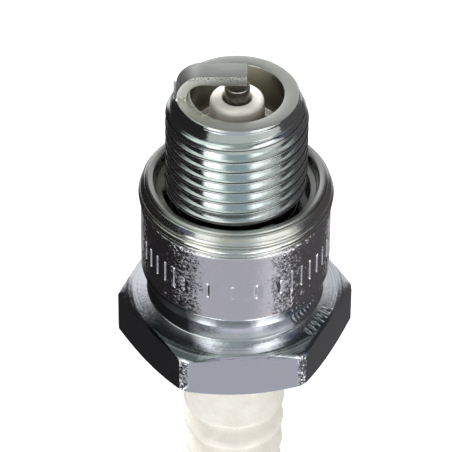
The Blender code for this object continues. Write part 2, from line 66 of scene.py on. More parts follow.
MM = 0.001
SHELL_LOW, SHELL_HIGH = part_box("metal_shell")
GASKET_LOW, GASKET_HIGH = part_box("sealing_gasket")
BAR_LOW, BAR_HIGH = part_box("ground_electrode")
INSULATOR_LOW, INSULATOR_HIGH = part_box("insulator")
ELECTRODE_LOW, ELECTRODE_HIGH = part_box("center_electrode")
STUD_LOW, STUD_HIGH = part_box("terminal_stud")
NUT_LOW, NUT_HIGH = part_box("terminal_nut")

# Shell
END_Z = SHELL_HIGH.z
CORNER_R = SHELL_HIGH.x
HALF_FLATS = SHELL_HIGH.y
PILOT_R = 6.05 * MM
PILOT_LENGTH = 0.4 * MM
THREAD_R = 6.95 * MM
ROOT_R = 6.1 * MM
PITCH = 1.25 * MM
CREST_Z = 5.93 * MM
CREST_HALF_WIDTH = 0.13 * MM
CREST_SHADE_HEIGHT = 0.125 * MM
THREAD_START_LENGTH = 2.0 * MM
RELIEF_TOP_Z = -1.2 * MM
RELIEF_R = 5.95 * MM
SHOULDER_Z = -2.57 * MM
COLLAR_R = 9.36 * MM
COLLAR_END_Z = -10.6 * MM
NECK_R = 8.71 * MM
HEX_TOP_Z = -13.75 * MM
HEX_BOTTOM_Z = -19.79 * MM
HEX_SLOPE_R = 10.3 * MM
HEX_TOP_SLOPE = 0.25
CHAMFER_SLOPE = 0.51
BORE_R = 4.5 * MM
SEAT_RING_R = 3.7 * MM
SEAT_RING_TOP_Z = 5.8 * MM
LIP_R = 5.5 * MM

# The camera stands this far round from the front, and the ground electrode points the same way.
VIEW_TURN = math.radians(-4.82)
FRONT_ANGLE = math.radians(-94.82)


# ---- small helpers for shapes ----

def smooth_step(value, low, high):
    t = min(1.0, max(0.0, (value - low) / (high - low)))
    return t * t * (3 - 2 * t)


def smooth_min(a, b, width):
    """The smaller of two lengths, rounded over where they meet."""
    h = max(width - abs(a - b), 0.0) / width
    return min(a, b) - h * h * width / 4


def filleted(corners, steps=4):
    """An outline through (radius, height, fillet) corners, each fillet an arc of that radius."""
    points = []
    last = len(corners) - 1
    for i, (x, y, fillet) in enumerate(corners):
        if fillet <= 0 or i in (0, last):
            points.append((x, y))
            continue
        here = Vector((x, y))
        before = (Vector(corners[i - 1][:2]) - here)
        after = (Vector(corners[i + 1][:2]) - here)
        turn = before.angle(after)
        reach = fillet / math.tan(turn / 2)
        reach = min(reach, before.length * 0.49, after.length * 0.49)
        radius = reach * math.tan(turn / 2)
        middle = (before.normalized() + after.normalized()).normalized()
        centre = here + middle * (radius / math.sin(turn / 2))
        start = here + before.normalized() * reach - centre
        end = here + after.normalized() * reach - centre
        sweep = start.angle_signed(end)
        for k in range(steps + 1):
            point = start.copy()
            point.rotate(Matrix.Rotation(-sweep * k / steps, 2))
            points.append(tuple(centre + point))
    return points


def grid_mesh(name, columns, closed_rows=False):
    """A mesh through columns of points, closed by merging the points that coincide."""
    rows = len(columns[0])
    vertices = [point for column in columns for point in column]
    faces = []
    for c in range(len(columns) - 1):
        for r in range(rows if closed_rows else rows - 1):
            a = c * rows + r
            b = c * rows + (r + 1) % rows
            faces.append((a, b, b + rows, a + rows))
    mesh = bpy.data.meshes.new(name)
    mesh.from_pydata(vertices, [], faces)
    made = bmesh.new()
    made.from_mesh(mesh)
    bmesh.ops.remove_doubles(made, verts=made.verts, dist=0.0002 * MM)
    bmesh.ops.dissolve_degenerate(made, edges=made.edges, dist=0.0001 * MM)
    bmesh.ops.recalc_face_normals(made, faces=made.faces)
    made.to_mesh(mesh)
    made.free()
    return mesh


def revolved(name, outline, steps=128, closed_rows=False):
    """A turned mesh from (radius, height) points."""
    columns = []
    for i in range(steps + 1):
        angle = math.tau * (i % steps) / steps
        c, s = math.cos(angle), math.sin(angle)
        columns.append([(radius * c, radius * s, height) for radius, height in outline])
    return grid_mesh(name, columns, closed_rows)


def add_piece(name, mesh, look, body, stands_for=(), sharp=38.0):
    """Put a mesh in the scene as a piece of the object."""
    mesh.materials.clear()
    mesh.materials.append(look)
    mesh.shade_smooth()
    mesh.set_sharp_from_angle(angle=math.radians(sharp))
    piece = bpy.data.objects.new(name, mesh)
    bpy.context.scene.collection.objects.link(piece)
    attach(piece, body)
    if stands_for:
        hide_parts(*stands_for)
    return piece


# ---- metal shell ----

STRIP_HALF_ANGLE = math.radians(30) - math.acos(HALF_FLATS / CORNER_R)
TICK_SPACING = math.radians(15)
TICK_START = FRONT_ANGLE - math.radians(1.8)
TICK_HALF_ANGLE = math.radians(0.95)
TICK_TOP_Z = -6.2 * MM
TICK_LENGTH = 1.6 * MM
TICK_DEPTH = 0.06 * MM
SIDE_TICKS_FROM = 0.6
SIDE_TICKS_TO = 1.9
SMALL_TICKS_START = FRONT_ANGLE + math.radians(47)
SMALL_TICK_SPACING = math.radians(4.0)
SMALL_TICK_COUNT = 7


def off_front(angle):
    """Angle from the side that faces the viewer, either way."""
    return abs((angle - FRONT_ANGLE + math.pi) % math.tau - math.pi)


def shell_angles():
    """Column angles over one turn, from the back: finer at the blunt corners and through each tick."""
    start = FRONT_ANGLE - math.pi
    wanted = []
    for sector in range(-1, 8):
        corner = math.radians(60) * sector
        edges = (-1.25, -1.08, -1.0, -0.92, -0.75, -0.3, 0.3, 0.75, 0.92, 1.0, 1.08, 1.25)
        wanted += [corner + STRIP_HALF_ANGLE * e for e in edges]
        flat = math.radians(60) - 2.6 * STRIP_HALF_ANGLE
        wanted += [corner + 1.3 * STRIP_HALF_ANGLE + flat * i / 15 for i in range(16)]
    for i in range(48):
        tick = TICK_START + TICK_SPACING * i / 2
        if i % 2 == 0 or SIDE_TICKS_FROM < off_front(tick) < SIDE_TICKS_TO:
            wanted += [tick + TICK_HALF_ANGLE * e for e in (-1.1, -0.5, 0.5, 1.1)]
    for i in range(SMALL_TICK_COUNT):
        wanted += [SMALL_TICKS_START + SMALL_TICK_SPACING * i + math.radians(e)
                   for e in (-0.8, -0.4, 0.4, 0.8)]
    turned_into_range = sorted(start + (angle - start) % math.tau for angle in wanted)
    angles = [start]
    for angle in turned_into_range:
        if angle - angles[-1] > math.radians(0.12) and start + math.tau - angle > math.radians(0.12):
            angles.append(angle)
    return angles + [start + math.tau]


def hex_radius(angle):
    """Radius of the hexagon's side at an angle, with blunt corners and slightly rounded edges."""
    from_flat = (angle - math.radians(30)) % math.radians(60)
    off = min(from_flat, math.radians(60) - from_flat)
    flat = HALF_FLATS / math.cos(off)
    return smooth_min(flat, CORNER_R, 0.05 * MM)


def thread_section():
    """(height, radius) points over one pitch, from root to root, rounded crest in the middle."""
    slope = math.tan(math.radians(30))
    section = []
    for mark in (0.625, 0.59, 0.54, 0.4, 0.24, 0.18, 0.14, 0.11, 0.08, 0.04,
                 0.0, -0.04, -0.08, -0.11, -0.14, -0.18, -0.24, -0.4, -0.54, -0.59):
        height = mark * MM
        flank = THREAD_R - (abs(height) - CREST_HALF_WIDTH) / slope
        radius = smooth_min(flank, THREAD_R, 0.16 * MM)
        radius = -smooth_min(-radius, -ROOT_R, 0.09 * MM)
        section.append((height, radius))
    return section


def thread_limit(height):
    """The radius that the thread may reach: a cone over the lead-in and a run-out at the relief."""
    top = END_Z - PILOT_LENGTH
    slope = (THREAD_R - PILOT_R) / THREAD_START_LENGTH
    lead_in = PILOT_R + (top - height) * slope
    run_out = RELIEF_R + (height - RELIEF_TOP_Z) * 1.6
    return smooth_min(smooth_min(lead_in, run_out, 0.08 * MM), THREAD_R + 0.02 * MM, 0.06 * MM)


def thread_rows(angle):
    """The thread's side at one angle, from the pilot down to the relief."""
    top = END_Z - PILOT_LENGTH
    lift = PITCH * (angle - FRONT_ANGLE) / math.tau
    rows = []
    first = math.ceil((top - CREST_Z) / PITCH) + 1
    last = math.floor((RELIEF_TOP_Z - CREST_Z) / PITCH) - 1
    section = thread_section()
    for turn in range(first, last - 1, -1):
        for height, radius in section:
            z = CREST_Z + turn * PITCH + height + lift
            z = min(top, max(RELIEF_TOP_Z, z))
            rows.append((min(radius, max(thread_limit(z), RELIEF_R)), z))
    rows[0] = (PILOT_R, top)
    rows[-1] = (RELIEF_R, RELIEF_TOP_Z)
    return rows


def tick_depth(angle, height):
    """How far a stamped tick sinks the collar at a place. The ticks are plain strokes, and those at
    the sides stand closer and are longer and deeper."""
    aside = SIDE_TICKS_FROM < off_front(angle) < SIDE_TICKS_TO
    spacing = TICK_SPACING / 2 if aside else TICK_SPACING
    index = round((angle - TICK_START) / spacing)
    off = abs(angle - TICK_START - index * spacing)
    across = 1 - smooth_step(off, TICK_HALF_ANGLE * 0.45, TICK_HALF_ANGLE * 1.05)
    extra = 0.6 * MM if aside else 0.0
    inside = min(TICK_TOP_Z + extra - height, height - (TICK_TOP_Z - TICK_LENGTH - extra / 3))
    along = smooth_step(inside, -0.05 * MM, 0.1 * MM)
    return TICK_DEPTH * (2.2 if aside else 1.0) * across * along


def collar_rows(angle):
    top = SHOULDER_Z
    outline = filleted([(RELIEF_R + 0.1 * MM, top, 0), (COLLAR_R, top, 0.18 * MM),
                        (COLLAR_R, top - 1.0 * MM, 0)])
    tick_marks = [TICK_TOP_Z + step * MM for step in (0.75, 0.62, 0.48, 0.1, -0.02, -0.12)]
    bottom = TICK_TOP_Z - TICK_LENGTH
    tick_marks += [bottom + step * MM for step in (0.8, 0.12, 0.02, -0.08, -0.18, -0.3)]
    outline += [(COLLAR_R - tick_depth(angle, z), z) for z in tick_marks]
    foot = HEX_TOP_Z + 0.1 * MM
    outline += filleted([(COLLAR_R, COLLAR_END_Z + 0.4 * MM, 0), (COLLAR_R, COLLAR_END_Z + 0.1 * MM, 0.9 * MM),
                         (8.84 * MM, COLLAR_END_Z - 1.35 * MM, 1.2 * MM),
                         (NECK_R + 0.03 * MM, foot, 0)], steps=8)
    outline += [(NECK_R + 0.035 * MM, foot - 0.04 * MM), (NECK_R + 0.06 * MM, HEX_TOP_Z + 0.02 * MM),
                (NECK_R + 0.12 * MM, HEX_TOP_Z - 0.01 * MM)]
    return outline


def small_tick_depth(angle):
    """How far a row of small stamped strokes sinks the sloped top along one side of the hexagon."""
    turn = angle - SMALL_TICKS_START
    index = round(turn / SMALL_TICK_SPACING)
    if not 0 <= index < SMALL_TICK_COUNT:
        return 0.0
    off = abs(turn - index * SMALL_TICK_SPACING)
    return 0.1 * MM * (1 - smooth_step(off, math.radians(0.35), math.radians(0.8)))


def hex_rows(angle):
    """Down over the sloped top, the chamfer, the side and back under the hexagon."""
    side = hex_radius(angle)
    slope_drop = HEX_TOP_SLOPE * (HEX_SLOPE_R - NECK_R)
    edge = 0.07 * MM

    def chamfer_drop(radius):
        return slope_drop + CHAMFER_SLOPE * (radius - HEX_SLOPE_R)

    sink = small_tick_depth(angle)
    half = []
    for t, share in ((0.13, 0.0), (0.3, 0.0), (0.5, 0.0), (0.57, 1.0), (0.92, 1.0)):
        half.append((NECK_R + t * (HEX_SLOPE_R - NECK_R), t * slope_drop + sink * share))
    near = side - edge
    for t in (0.1, 0.5, 1.0):
        radius = HEX_SLOPE_R + (near - HEX_SLOPE_R) * t
        half.append((radius, chamfer_drop(radius)))
    half += [(side - 0.38 * edge, chamfer_drop(side - 0.25 * edge) + 0.02 * MM)]
    half += [(side - 0.08 * edge, chamfer_drop(side) + 0.42 * edge)]
    half += [(side, chamfer_drop(side) + edge)]
    rows = [(radius, HEX_TOP_Z - drop) for radius, drop in half]
    rows.append((side, (HEX_TOP_Z + HEX_BOTTOM_Z) / 2))
    rows += [(radius, HEX_BOTTOM_Z + drop) for radius, drop in reversed(half)]
    return rows


def lower_rows():
    """The hexagon's underside, the crimped lip and the bore, back up to the end face."""
    low = SHELL_LOW.z
    outline = filleted([(NECK_R, HEX_BOTTOM_Z, 0), (8.0 * MM, HEX_BOTTOM_Z + 0.05 * MM, 0.15 * MM),
                        (7.85 * MM, HEX_BOTTOM_Z - 0.5 * MM, 0.1 * MM),
                        (7.85 * MM, low, 1.5 * MM), (LIP_R, low, 0.18 * MM),
                        (LIP_R, low + 0.9 * MM, 0)], steps=6)
    outline += [(LIP_R, -20.9 * MM), (6.4 * MM, -20.6 * MM), (6.75 * MM, -20.0 * MM)]
    outline += [(6.75 * MM, -6.7 * MM), (4.85 * MM, -5.6 * MM), (4.85 * MM, 1.0 * MM)]
    outline += filleted([(4.84 * MM, 1.02 * MM, 0), (SEAT_RING_R, 1.7 * MM, 0.1 * MM),
                         (SEAT_RING_R, SEAT_RING_TOP_Z, 0.2 * MM), (BORE_R, SEAT_RING_TOP_Z, 0.08 * MM),
                         (BORE_R, END_Z, 0.14 * MM), (5.2 * MM, END_Z, 0)], steps=3)
    return outline


def shell_mesh():
    top = filleted([(5.4 * MM, END_Z, 0), (PILOT_R, END_Z, 0.16 * MM),
                    (PILOT_R, END_Z - PILOT_LENGTH + 0.05 * MM, 0)])
    relief = filleted([(RELIEF_R, RELIEF_TOP_Z - 0.05 * MM, 0), (RELIEF_R, SHOULDER_Z, 0.2 * MM),
                       (RELIEF_R + 0.3 * MM, SHOULDER_Z, 0)], steps=3)
    bottom = lower_rows()
    columns = []
    for angle in shell_angles():
        outline = top + thread_rows(angle) + relief + collar_rows(angle) + hex_rows(angle) + bottom
        c, s = math.cos(angle), math.sin(angle)
        columns.append([(radius * c, radius * s, height) for radius, height in outline])
    return grid_mesh("shell", columns, closed_rows=True)


# ---- ground electrode ----

BAR_HALF_WIDTH = 1.22 * MM
BAR_THICKNESS = 1.1 * MM
BAR_BEND_R = 1.5 * MM
BAR_OUTER_R = 5.9 * MM
BAR_TIP_X = 0.9 * MM
BAR_CORNER = 0.17 * MM


def bar_path():
    """(place, outward direction) stations along the bar's middle, from the foot to the free end."""
    middle_x = -BAR_OUTER_R + BAR_THICKNESS / 2
    middle_z = BAR_HIGH.z - BAR_THICKNESS / 2
    bend = BAR_BEND_R + BAR_THICKNESS / 2
    stations = []
    foot_z = END_Z - 0.05 * MM
    for t in (0.0, 0.04, 0.1, 0.2, 0.4, 0.7, 1.0):
        height = foot_z + (middle_z - bend - foot_z) * t
        stations.append((Vector((middle_x, 0, height)), Vector((-1, 0, 0))))
    for i in range(1, 16):
        angle = math.radians(90) * i / 16
        outward = Vector((-math.cos(angle), 0, math.sin(angle)))
        centre = Vector((middle_x + bend, 0, middle_z - bend))
        stations.append((centre + outward * bend, outward))
    start_x = middle_x + bend
    for i in range(13):
        x = start_x + (BAR_TIP_X - start_x) * i / 12
        stations.append((Vector((x, 0, middle_z)), Vector((0, 0, 1))))
    return stations


def bar_mesh():
    """The bar's rounded section carried along its path, with a slightly domed, sheared free end."""
    section = []
    for corner in range(4):
        sign_w = (1, -1, -1, 1)[corner]
        sign_t = (1, 1, -1, -1)[corner]
        for i in range(6):
            angle = math.radians(90) * (corner + i / 5)
            w = sign_w * (BAR_HALF_WIDTH - BAR_CORNER) + BAR_CORNER * math.cos(angle)
            t = sign_t * (BAR_THICKNESS / 2 - BAR_CORNER) + BAR_CORNER * math.sin(angle)
            section.append((w, t))
    across = Vector((0, 1, 0))
    stations = bar_path()
    rings = []
    for place, outward in stations:
        rings.append([place + across * w + outward * t for w, t in section])
    end_place, end_out = stations[-1]
    for inset, forward in ((0.97, 0.03), (0.9, 0.05), (0.5, 0.055), (0.0, 0.055)):
        place = end_place + Vector((forward * MM, 0, 0))
        rings.append([place + across * w * inset + end_out * t * inset for w, t in section])
    start_place, start_out = stations[0]
    rings.insert(0, [start_place for _ in section])
    turn = Matrix.Rotation(VIEW_TURN, 3, "Z")
    rings = [[turn @ point for point in ring] for ring in rings]
    return grid_mesh("bar", rings, closed_rows=True)


def weld_mesh(rng):
    """The collar of metal squeezed out around the bar's foot."""
    middle_x = -BAR_OUTER_R + BAR_THICKNESS / 2
    columns = []
    steps = 72
    phases = [rng.uniform(0, math.tau) for _ in range(4)]
    for i in range(steps + 1):
        angle = math.tau * (i % steps) / steps
        wave = sum(math.sin(angle * n + phases[k]) for k, n in enumerate((3, 5, 8, 13))) / 4
        c, s = math.cos(angle), math.sin(angle)
        half_t, half_w = BAR_THICKNESS / 2, BAR_HALF_WIDTH
        power = (abs(c) ** 6 + abs(s) ** 6) ** (1 / 6)
        rim = (0.16 + 0.06 * wave) * MM
        tall = (0.2 + 0.1 * wave) * MM
        column = []
        for k in range(7):
            t = math.radians(90) * k / 6
            grow = rim * math.cos(t)
            rise = tall * math.sin(t)
            x = middle_x + c / power * (half_t - 0.04 * MM + grow)
            y = s / power * (half_w - 0.04 * MM + grow)
            column.append((x, y, END_Z - 0.03 * MM + rise))
        column.append((middle_x + c / power * half_t * 0.5, s / power * half_w * 0.5, END_Z + tall * 0.8))
        column.append((middle_x, 0, END_Z + 0.1 * MM))
        column.insert(0, (middle_x, 0, END_Z - 0.03 * MM))
        columns.append([Matrix.Rotation(VIEW_TURN, 3, "Z") @ Vector(point) for point in column])
    return grid_mesh("weld", columns)


def flash_mesh(rng):
    """The thin leaf of weld flash that stands up against the outer side of the foot."""
    columns = []
    steps = 24
    low = END_Z - 1.1 * MM
    for i in range(steps + 1):
        t = i / steps
        angle = math.radians(180) + (t - 0.62) * math.radians(9)
        tall = (2.4 * (1 - (2 * t - 1) ** 2) ** 0.6 + rng.uniform(-0.02, 0.02)) * MM
        thick = (0.12 + 0.05 * math.sin(math.pi * t)) * MM
        outer = [(6.1 * MM + 0.03 * MM * k / 6, low + tall * k / 6) for k in range(7)]
        inner = [(radius - 2 * thick * (1 - 0.35 * (z - low) / (2.4 * MM)), z) for radius, z in reversed(outer)]
        column = [Vector((radius * math.cos(angle), radius * math.sin(angle), z)) for radius, z in outer + inner]
        columns.append([Matrix.Rotation(VIEW_TURN, 3, "Z") @ point for point in column])
    first = sum(columns[0], Vector()) / len(columns[0])
    last = sum(columns[-1], Vector()) / len(columns[-1])
    columns.insert(0, [first] * len(columns[0]))
    columns.append([last] * len(columns[0]))
    return grid_mesh("flash", columns, closed_rows=True)


# ---- centre electrode and insulator ----

TIP_HIGHLIGHT_DEPTH = 0.07 * MM
NOSE_HOLE_R = 1.42 * MM
BORE_INSIDE_R = 2.15 * MM
RIB_COUNT = 5
RIB_PITCH = 3.0 * MM
RIB_DEPTH = 0.75 * MM
RIBS_START_Z = -28.4 * MM
INSULATOR_NECK_R = 5.2 * MM
INSULATOR_END_R = 4.35 * MM


def electrode_mesh():
    tip = ELECTRODE_HIGH.z
    low = ELECTRODE_LOW.z
    r = 1.23 * MM
    outline = filleted([(0, tip, 0), (r * 0.6, tip - 0.01 * MM, 0), (r, tip - 0.02 * MM, 0.1 * MM),
                        (r, 8.6 * MM, 0), (r - 0.03 * MM, 8.0 * MM, 0), (r - 0.03 * MM, low + 2.5 * MM, 0),
                        (1.85 * MM, low + 2.0 * MM, 0.1 * MM), (1.85 * MM, low, 0.1 * MM),
                        (0.85 * MM, low, 0.05 * MM), (0.85 * MM, tip - 2.3 * MM, 0.1 * MM),
                        (0, tip - 2.0 * MM, 0)])
    return revolved("electrode", outline, 96)


def insulator_mesh():
    tip = INSULATOR_HIGH.z
    end = INSULATOR_LOW.z
    outline = filleted([(NOSE_HOLE_R, tip - 1.0 * MM, 0), (NOSE_HOLE_R, tip, 0.16 * MM),
                        (2.6 * MM, tip - 0.02 * MM, 0.55 * MM), (2.68 * MM, tip - 1.6 * MM, 0.6 * MM),
                        (2.8 * MM, tip - 4.0 * MM, 1.0 * MM),
                        (3.3 * MM, 2.8 * MM, 1.0 * MM), (3.35 * MM, 0.8 * MM, 0.2 * MM),
                        (4.5 * MM, 0.05 * MM, 0.2 * MM), (4.5 * MM, -6.1 * MM, 0.5 * MM),
                        (6.3 * MM, -7.6 * MM, 0.5 * MM), (6.3 * MM, -15.3 * MM, 0.5 * MM),
                        (INSULATOR_NECK_R, -16.2 * MM, 0.4 * MM),
                        (INSULATOR_NECK_R, RIBS_START_Z + 0.1 * MM, 0)], steps=6)
    samples = 16
    for i in range(RIB_COUNT * samples + 1):
        along = i / samples
        wave = (1 - math.cos(math.tau * along)) / 2
        dip = RIB_DEPTH * wave ** 1.4
        shrink = 0.35 * MM * along / RIB_COUNT
        outline.append((INSULATOR_NECK_R - shrink - dip, RIBS_START_Z - along * RIB_PITCH))
    last_z = RIBS_START_Z - RIB_COUNT * RIB_PITCH
    outline += filleted([(INSULATOR_NECK_R - 0.36 * MM, last_z - 0.05 * MM, 0),
                         (INSULATOR_END_R, last_z - 0.8 * MM, 0.5 * MM), (INSULATOR_END_R, end, 0.45 * MM),
                         (BORE_INSIDE_R, end, 0.12 * MM), (BORE_INSIDE_R, -1.0 * MM, 0.1 * MM),
                         (NOSE_HOLE_R + 0.1 * MM, -0.45 * MM, 0.1 * MM),
                         (NOSE_HOLE_R, tip - 1.2 * MM, 0)], steps=6)
    return revolved("insulator", outline, 144, closed_rows=True)


# ---- gasket ----

TAB_ANGLES = [math.radians(172 + 120 * i) for i in range(3)]


def gasket_outline(tab):
    """The folded ring's section: flat lip, rounded shoulder, creases between the folds, inner ledge.
    tab is how far the ledge's inner edge is staked inwards here."""
    bottom = SHOULDER_Z + 0.02 * MM
    outer = GASKET_HIGH.x
    inner = 7.25 * MM - tab
    corners = [(8.2, 0.0, 0.05), (8.64, 0.0, 0.08), (8.74, -0.11, 0.05), (8.9, -0.2, 0.02),
               (8.95, -0.27, 0.02), (9.04, -0.31, 0.08), (9.32, -0.68, 0.3), (9.4, -0.95, 0.1),
               (9.36, -1.02, 0.03), (9.26, -1.08, 0.02), (9.45, -1.14, 0.04), (9.47, -1.26, 0.04),
               (9.3, -1.32, 0.02), (9.56, -1.42, 0.1), (9.6, -1.64, 0.1), (9.54, -1.86, 0.06),
               (9.32, -1.93, 0.02), (9.5, -2.0, 0.08), (9.52, -2.2, 0.1), (9.3, -2.53, 0.08)]
    outline = [(radius * MM, min(z * MM, 0.0), fillet * MM) for radius, z, fillet in corners]
    outline = [(min(radius, outer), z, fillet) for radius, z, fillet in outline]
    outline += [(7.4 * MM, bottom, 0.1 * MM), (inner, -1.75 * MM, 0.1 * MM)]
    outline += [(inner, -1.3 * MM + tab * 0.15, 0.1 * MM), (7.3 * MM, -1.2 * MM + tab * 0.1, 0.2 * MM)]
    outline += [(7.86 * MM, -1.15 * MM, 0.12 * MM), (8.08 * MM, -0.25 * MM, 0.1 * MM)]
    outline += [(8.19 * MM, -0.01 * MM, 0)]
    return filleted(outline, steps=4)


def gasket_mesh():
    steps = 240
    columns = []
    for i in range(steps + 1):
        angle = math.tau * (i % steps) / steps
        tab = 0.0
        for place in TAB_ANGLES:
            off = abs((angle - place + math.pi) % math.tau - math.pi)
            tab = max(tab, 0.62 * MM * (1 - smooth_step(off, math.radians(5), math.radians(10))))
        c, s = math.cos(angle), math.sin(angle)
        columns.append([(radius * c, radius * s, z) for radius, z in gasket_outline(tab)])
    return grid_mesh("gasket", columns, closed_rows=True)


# ---- terminal ----

STUD_THREAD_R = 1.95 * MM
STUD_ROOT_R = 1.6 * MM
STUD_PITCH = 0.7 * MM


def stud_thread_rows(angle, top, bottom):
    """The M4 thread's side at one angle, from the flange down to the chamfered end."""
    slope = math.tan(math.radians(30))
    rows = []
    samples = 8
    lift = STUD_PITCH * angle / math.tau
    turns = math.ceil((top - bottom) / STUD_PITCH) + 2
    for i in range(turns * samples + 1):
        along = i / samples
        z = top + STUD_PITCH + lift - along * STUD_PITCH
        phase = abs((along + 0.5) % 1.0 - 0.5) * STUD_PITCH
        radius = STUD_THREAD_R - max(0.0, phase - STUD_PITCH / 16) / slope
        z = min(top, max(bottom, z))
        limit = min(STUD_ROOT_R + (top - z) * 1.2, STUD_ROOT_R - 0.05 * MM + (z - bottom) * 1.0)
        radius = min(max(radius, STUD_ROOT_R), max(limit, STUD_ROOT_R - 0.05 * MM))
        rows.append((radius, z))
    rows[0] = (STUD_ROOT_R, top)
    rows[-1] = (STUD_ROOT_R - 0.05 * MM, bottom)
    return rows


def stud_mesh():
    top = STUD_HIGH.z
    flange_z = INSULATOR_LOW.z - 0.3 * MM
    flange_low = flange_z - 0.7 * MM
    shank_r = 1.85 * MM
    upper = filleted([(0, top, 0), (shank_r - 0.25 * MM, top, 0.1 * MM),
                      (shank_r - 0.25 * MM, top - 0.2 * MM, 0)])
    for i in range(4):
        z = top - 0.5 * MM * (2 * i + 1)
        upper += [(shank_r, z + 0.25 * MM), (shank_r, z), (shank_r - 0.25 * MM, z - 0.12 * MM)]
    upper += filleted([(shank_r, top - 4.5 * MM, 0), (shank_r, flange_z, 0.1 * MM),
                       (2.9 * MM, flange_z, 0.12 * MM), (2.9 * MM, flange_low, 0.12 * MM),
                       (STUD_ROOT_R + 0.1 * MM, flange_low, 0)], steps=4)
    columns = []
    steps = 96
    for i in range(steps + 1):
        angle = math.tau * i / steps
        c, s = math.cos(angle), math.sin(angle)
        outline = upper + stud_thread_rows(angle, flange_low - 0.02 * MM, STUD_LOW.z) + [(0, STUD_LOW.z)]
        columns.append([(radius * c, radius * s, z) for radius, z in outline])
    return grid_mesh("stud", columns)


def nut_mesh():
    foot = NUT_HIGH.z
    end = NUT_LOW.z
    bore = STUD_THREAD_R + 0.1 * MM
    outline = filleted([(bore, foot - 0.5 * MM, 0), (bore + 0.25 * MM, foot, 0.05 * MM),
                        (3.3 * MM, foot, 0.18 * MM), (3.3 * MM, foot - 1.5 * MM, 0.15 * MM),
                        (2.75 * MM, foot - 2.0 * MM, 0.3 * MM), (2.75 * MM, foot - 3.4 * MM, 0.3 * MM),
                        (3.175 * MM, foot - 3.9 * MM, 0.2 * MM), (3.175 * MM, end + 0.9 * MM, 0.3 * MM),
                        (2.3 * MM, end, 0.15 * MM), (0.8 * MM, end, 0), (0, end, 0)], steps=5)
    inside = [(0, STUD_LOW.z - 0.3 * MM), (bore, STUD_LOW.z - 0.05 * MM)]
    return revolved("nut", outline + inside + [outline[0]], 96, closed_rows=False)


# ---- materials ----

